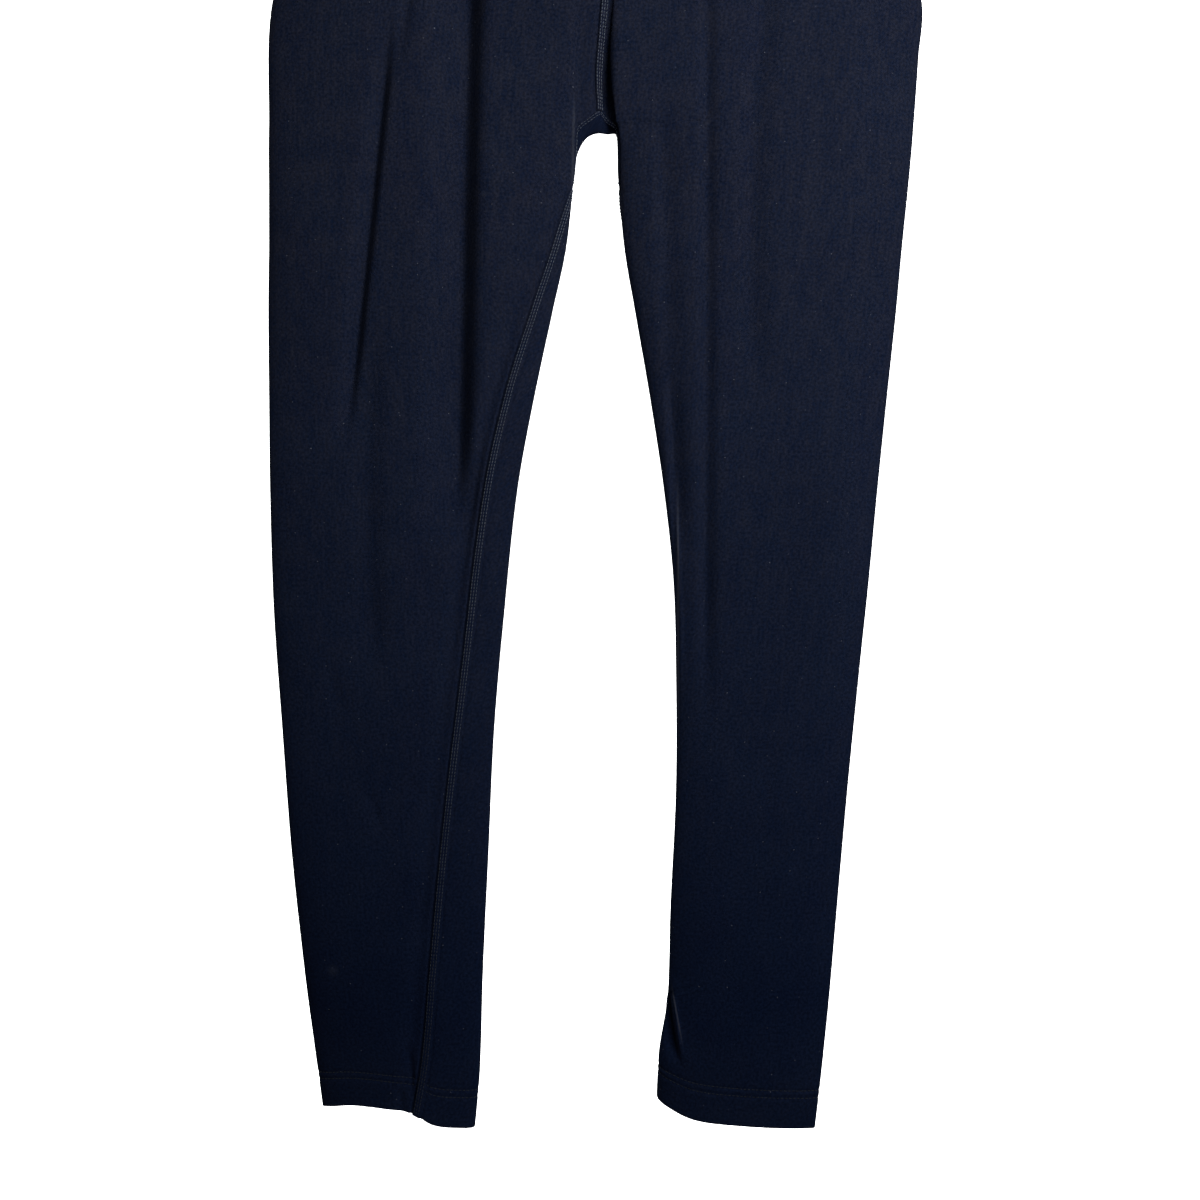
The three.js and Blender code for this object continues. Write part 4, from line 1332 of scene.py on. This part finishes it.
# Soft square lights, in metres and watts
Light = namedtuple("Light", "name place target size power")
LIGHTS = [
    Light("key", (0.6, -1.05, 0), (0, 0, -0.5), 0.75, 32),
    Light("fill", (-1.4, -1.7, -0.2), (0, 0, -0.6), 1.2, 1.5),
    Light("back_key", (-0.8, 1.3, 0.1), (0, 0, -0.5), 0.6, 30),
    Light("overhead", (0, 2.1, 2.2), (0, 2, FLOOR_Z), 2.2, 170),
    Light("backdrop_left", (-2.4, 1.4, 1.2), (-0.5, 3.2, -0.2), 1.6, 80),
    Light("backdrop_right", (2.4, 1.4, 1.2), (0.5, 3.2, -0.2), 1.6, 80),
]


class LEGGINGS_OT_stage(bpy.types.Operator):
    """Makes the pale floor and backdrop, the soft lights and the camera"""

    bl_idname = "leggings.stage"
    bl_label = "Stage"

    def execute(self, context):
        scene = context.scene
        side_x, front_y, top_z = -5, -4, 4
        bm = bmesh.new()
        corner = bm.verts.new((side_x, front_y, FLOOR_Z))
        start = bm.verts.new((side_x, BACK_Y - SWEEP_RADIUS, FLOOR_Z))
        bm.edges.new((corner, start))
        bmesh.ops.spin(
            bm,
            geom=[start],
            cent=(side_x, BACK_Y - SWEEP_RADIUS, FLOOR_Z + SWEEP_RADIUS),
            axis=(1, 0, 0),
            angle=np.pi / 2,
            steps=24,
            use_merge=False,
        )
        bm.verts.ensure_lookup_table()
        top = max(bm.verts, key=lambda v: v.co.z)
        bm.edges.new((top, bm.verts.new((side_x, BACK_Y, top_z))))
        made = bmesh.ops.extrude_edge_only(bm, edges=bm.edges[:])
        moved = [v for v in made["geom"] if isinstance(v, bmesh.types.BMVert)]
        bmesh.ops.translate(bm, verts=moved, vec=(-2 * side_x, 0, 0))
        bmesh.ops.recalc_face_normals(bm, faces=bm.faces)
        card = new_object("floor_and_backdrop", bm, shared("white_card", stage_material))
        turn_out(card, (0, 0, FLOOR_Z), (0, 0, 1))
        card.visible_diffuse = False  # its glow would wash the shade out of the folds

        for row in LIGHTS:
            light = bpy.data.lights.new(row.name, "AREA")
            light.shape = "SQUARE"
            light.size = row.size
            light.energy = row.power
            holder = bpy.data.objects.new(row.name, light)
            holder.location = row.place
            way = Vector(row.target) - Vector(row.place)
            holder.rotation_euler = way.to_track_quat("-Z", "Y").to_euler()
            holder.visible_camera = False
            scene.collection.objects.link(holder)
        scene.world = soft_room()

        camera = bpy.data.cameras.new("camera")
        camera.sensor_width = 36
        # far enough for the photo's perspective, with its frame and its middle height
        distance, frame_width, height = 0.95, 0.882, -0.6052
        camera.lens = camera.sensor_width * distance / frame_width
        camera.clip_end = 20
        holder = bpy.data.objects.new("camera", camera)
        holder.location = (0, -distance, height)
        holder.rotation_euler = (np.pi / 2, 0, 0)
        scene.collection.objects.link(holder)
        scene.camera = holder
        scene.view_settings.view_transform = "Standard"
        return {"FINISHED"}


class LEGGINGS_PT_pieces(bpy.types.Panel):
    """Lists the sizes, the colours and the pieces"""

    bl_label = "Leggings"
    bl_space_type = "VIEW_3D"
    bl_region_type = "UI"
    bl_category = "Leggings"

    def draw(self, context):
        for group in (context.scene.leggings_sizes, context.scene.leggings_colours):
            box = self.layout.box()
            for name in group.__annotations__:
                box.prop(group, name)
        for operator in OPERATORS:
            self.layout.operator(operator.bl_idname)


OPERATORS = (
    LEGGINGS_OT_legs,
    LEGGINGS_OT_waistband,
    LEGGINGS_OT_gusset,
    LEGGINGS_OT_seams,
    LEGGINGS_OT_stitching,
    LEGGINGS_OT_stage,
)
CLASSES = (LeggingsSizes, LeggingsColours, *OPERATORS, LEGGINGS_PT_pieces)


def register():
    for cls in CLASSES:
        bpy.utils.register_class(cls)
    bpy.types.Scene.leggings_sizes = PointerProperty(type=LeggingsSizes)
    bpy.types.Scene.leggings_colours = PointerProperty(type=LeggingsColours)


def unregister():
    del bpy.types.Scene.leggings_colours
    del bpy.types.Scene.leggings_sizes
    for cls in reversed(CLASSES):
        bpy.utils.unregister_class(cls)


def main():
    register()
    bpy.ops.leggings.legs()
    bpy.ops.leggings.waistband()
    bpy.ops.leggings.gusset()
    bpy.ops.leggings.seams()
    bpy.ops.leggings.stitching()
    bpy.ops.leggings.stage()


if __name__ == "__main__":
    main()
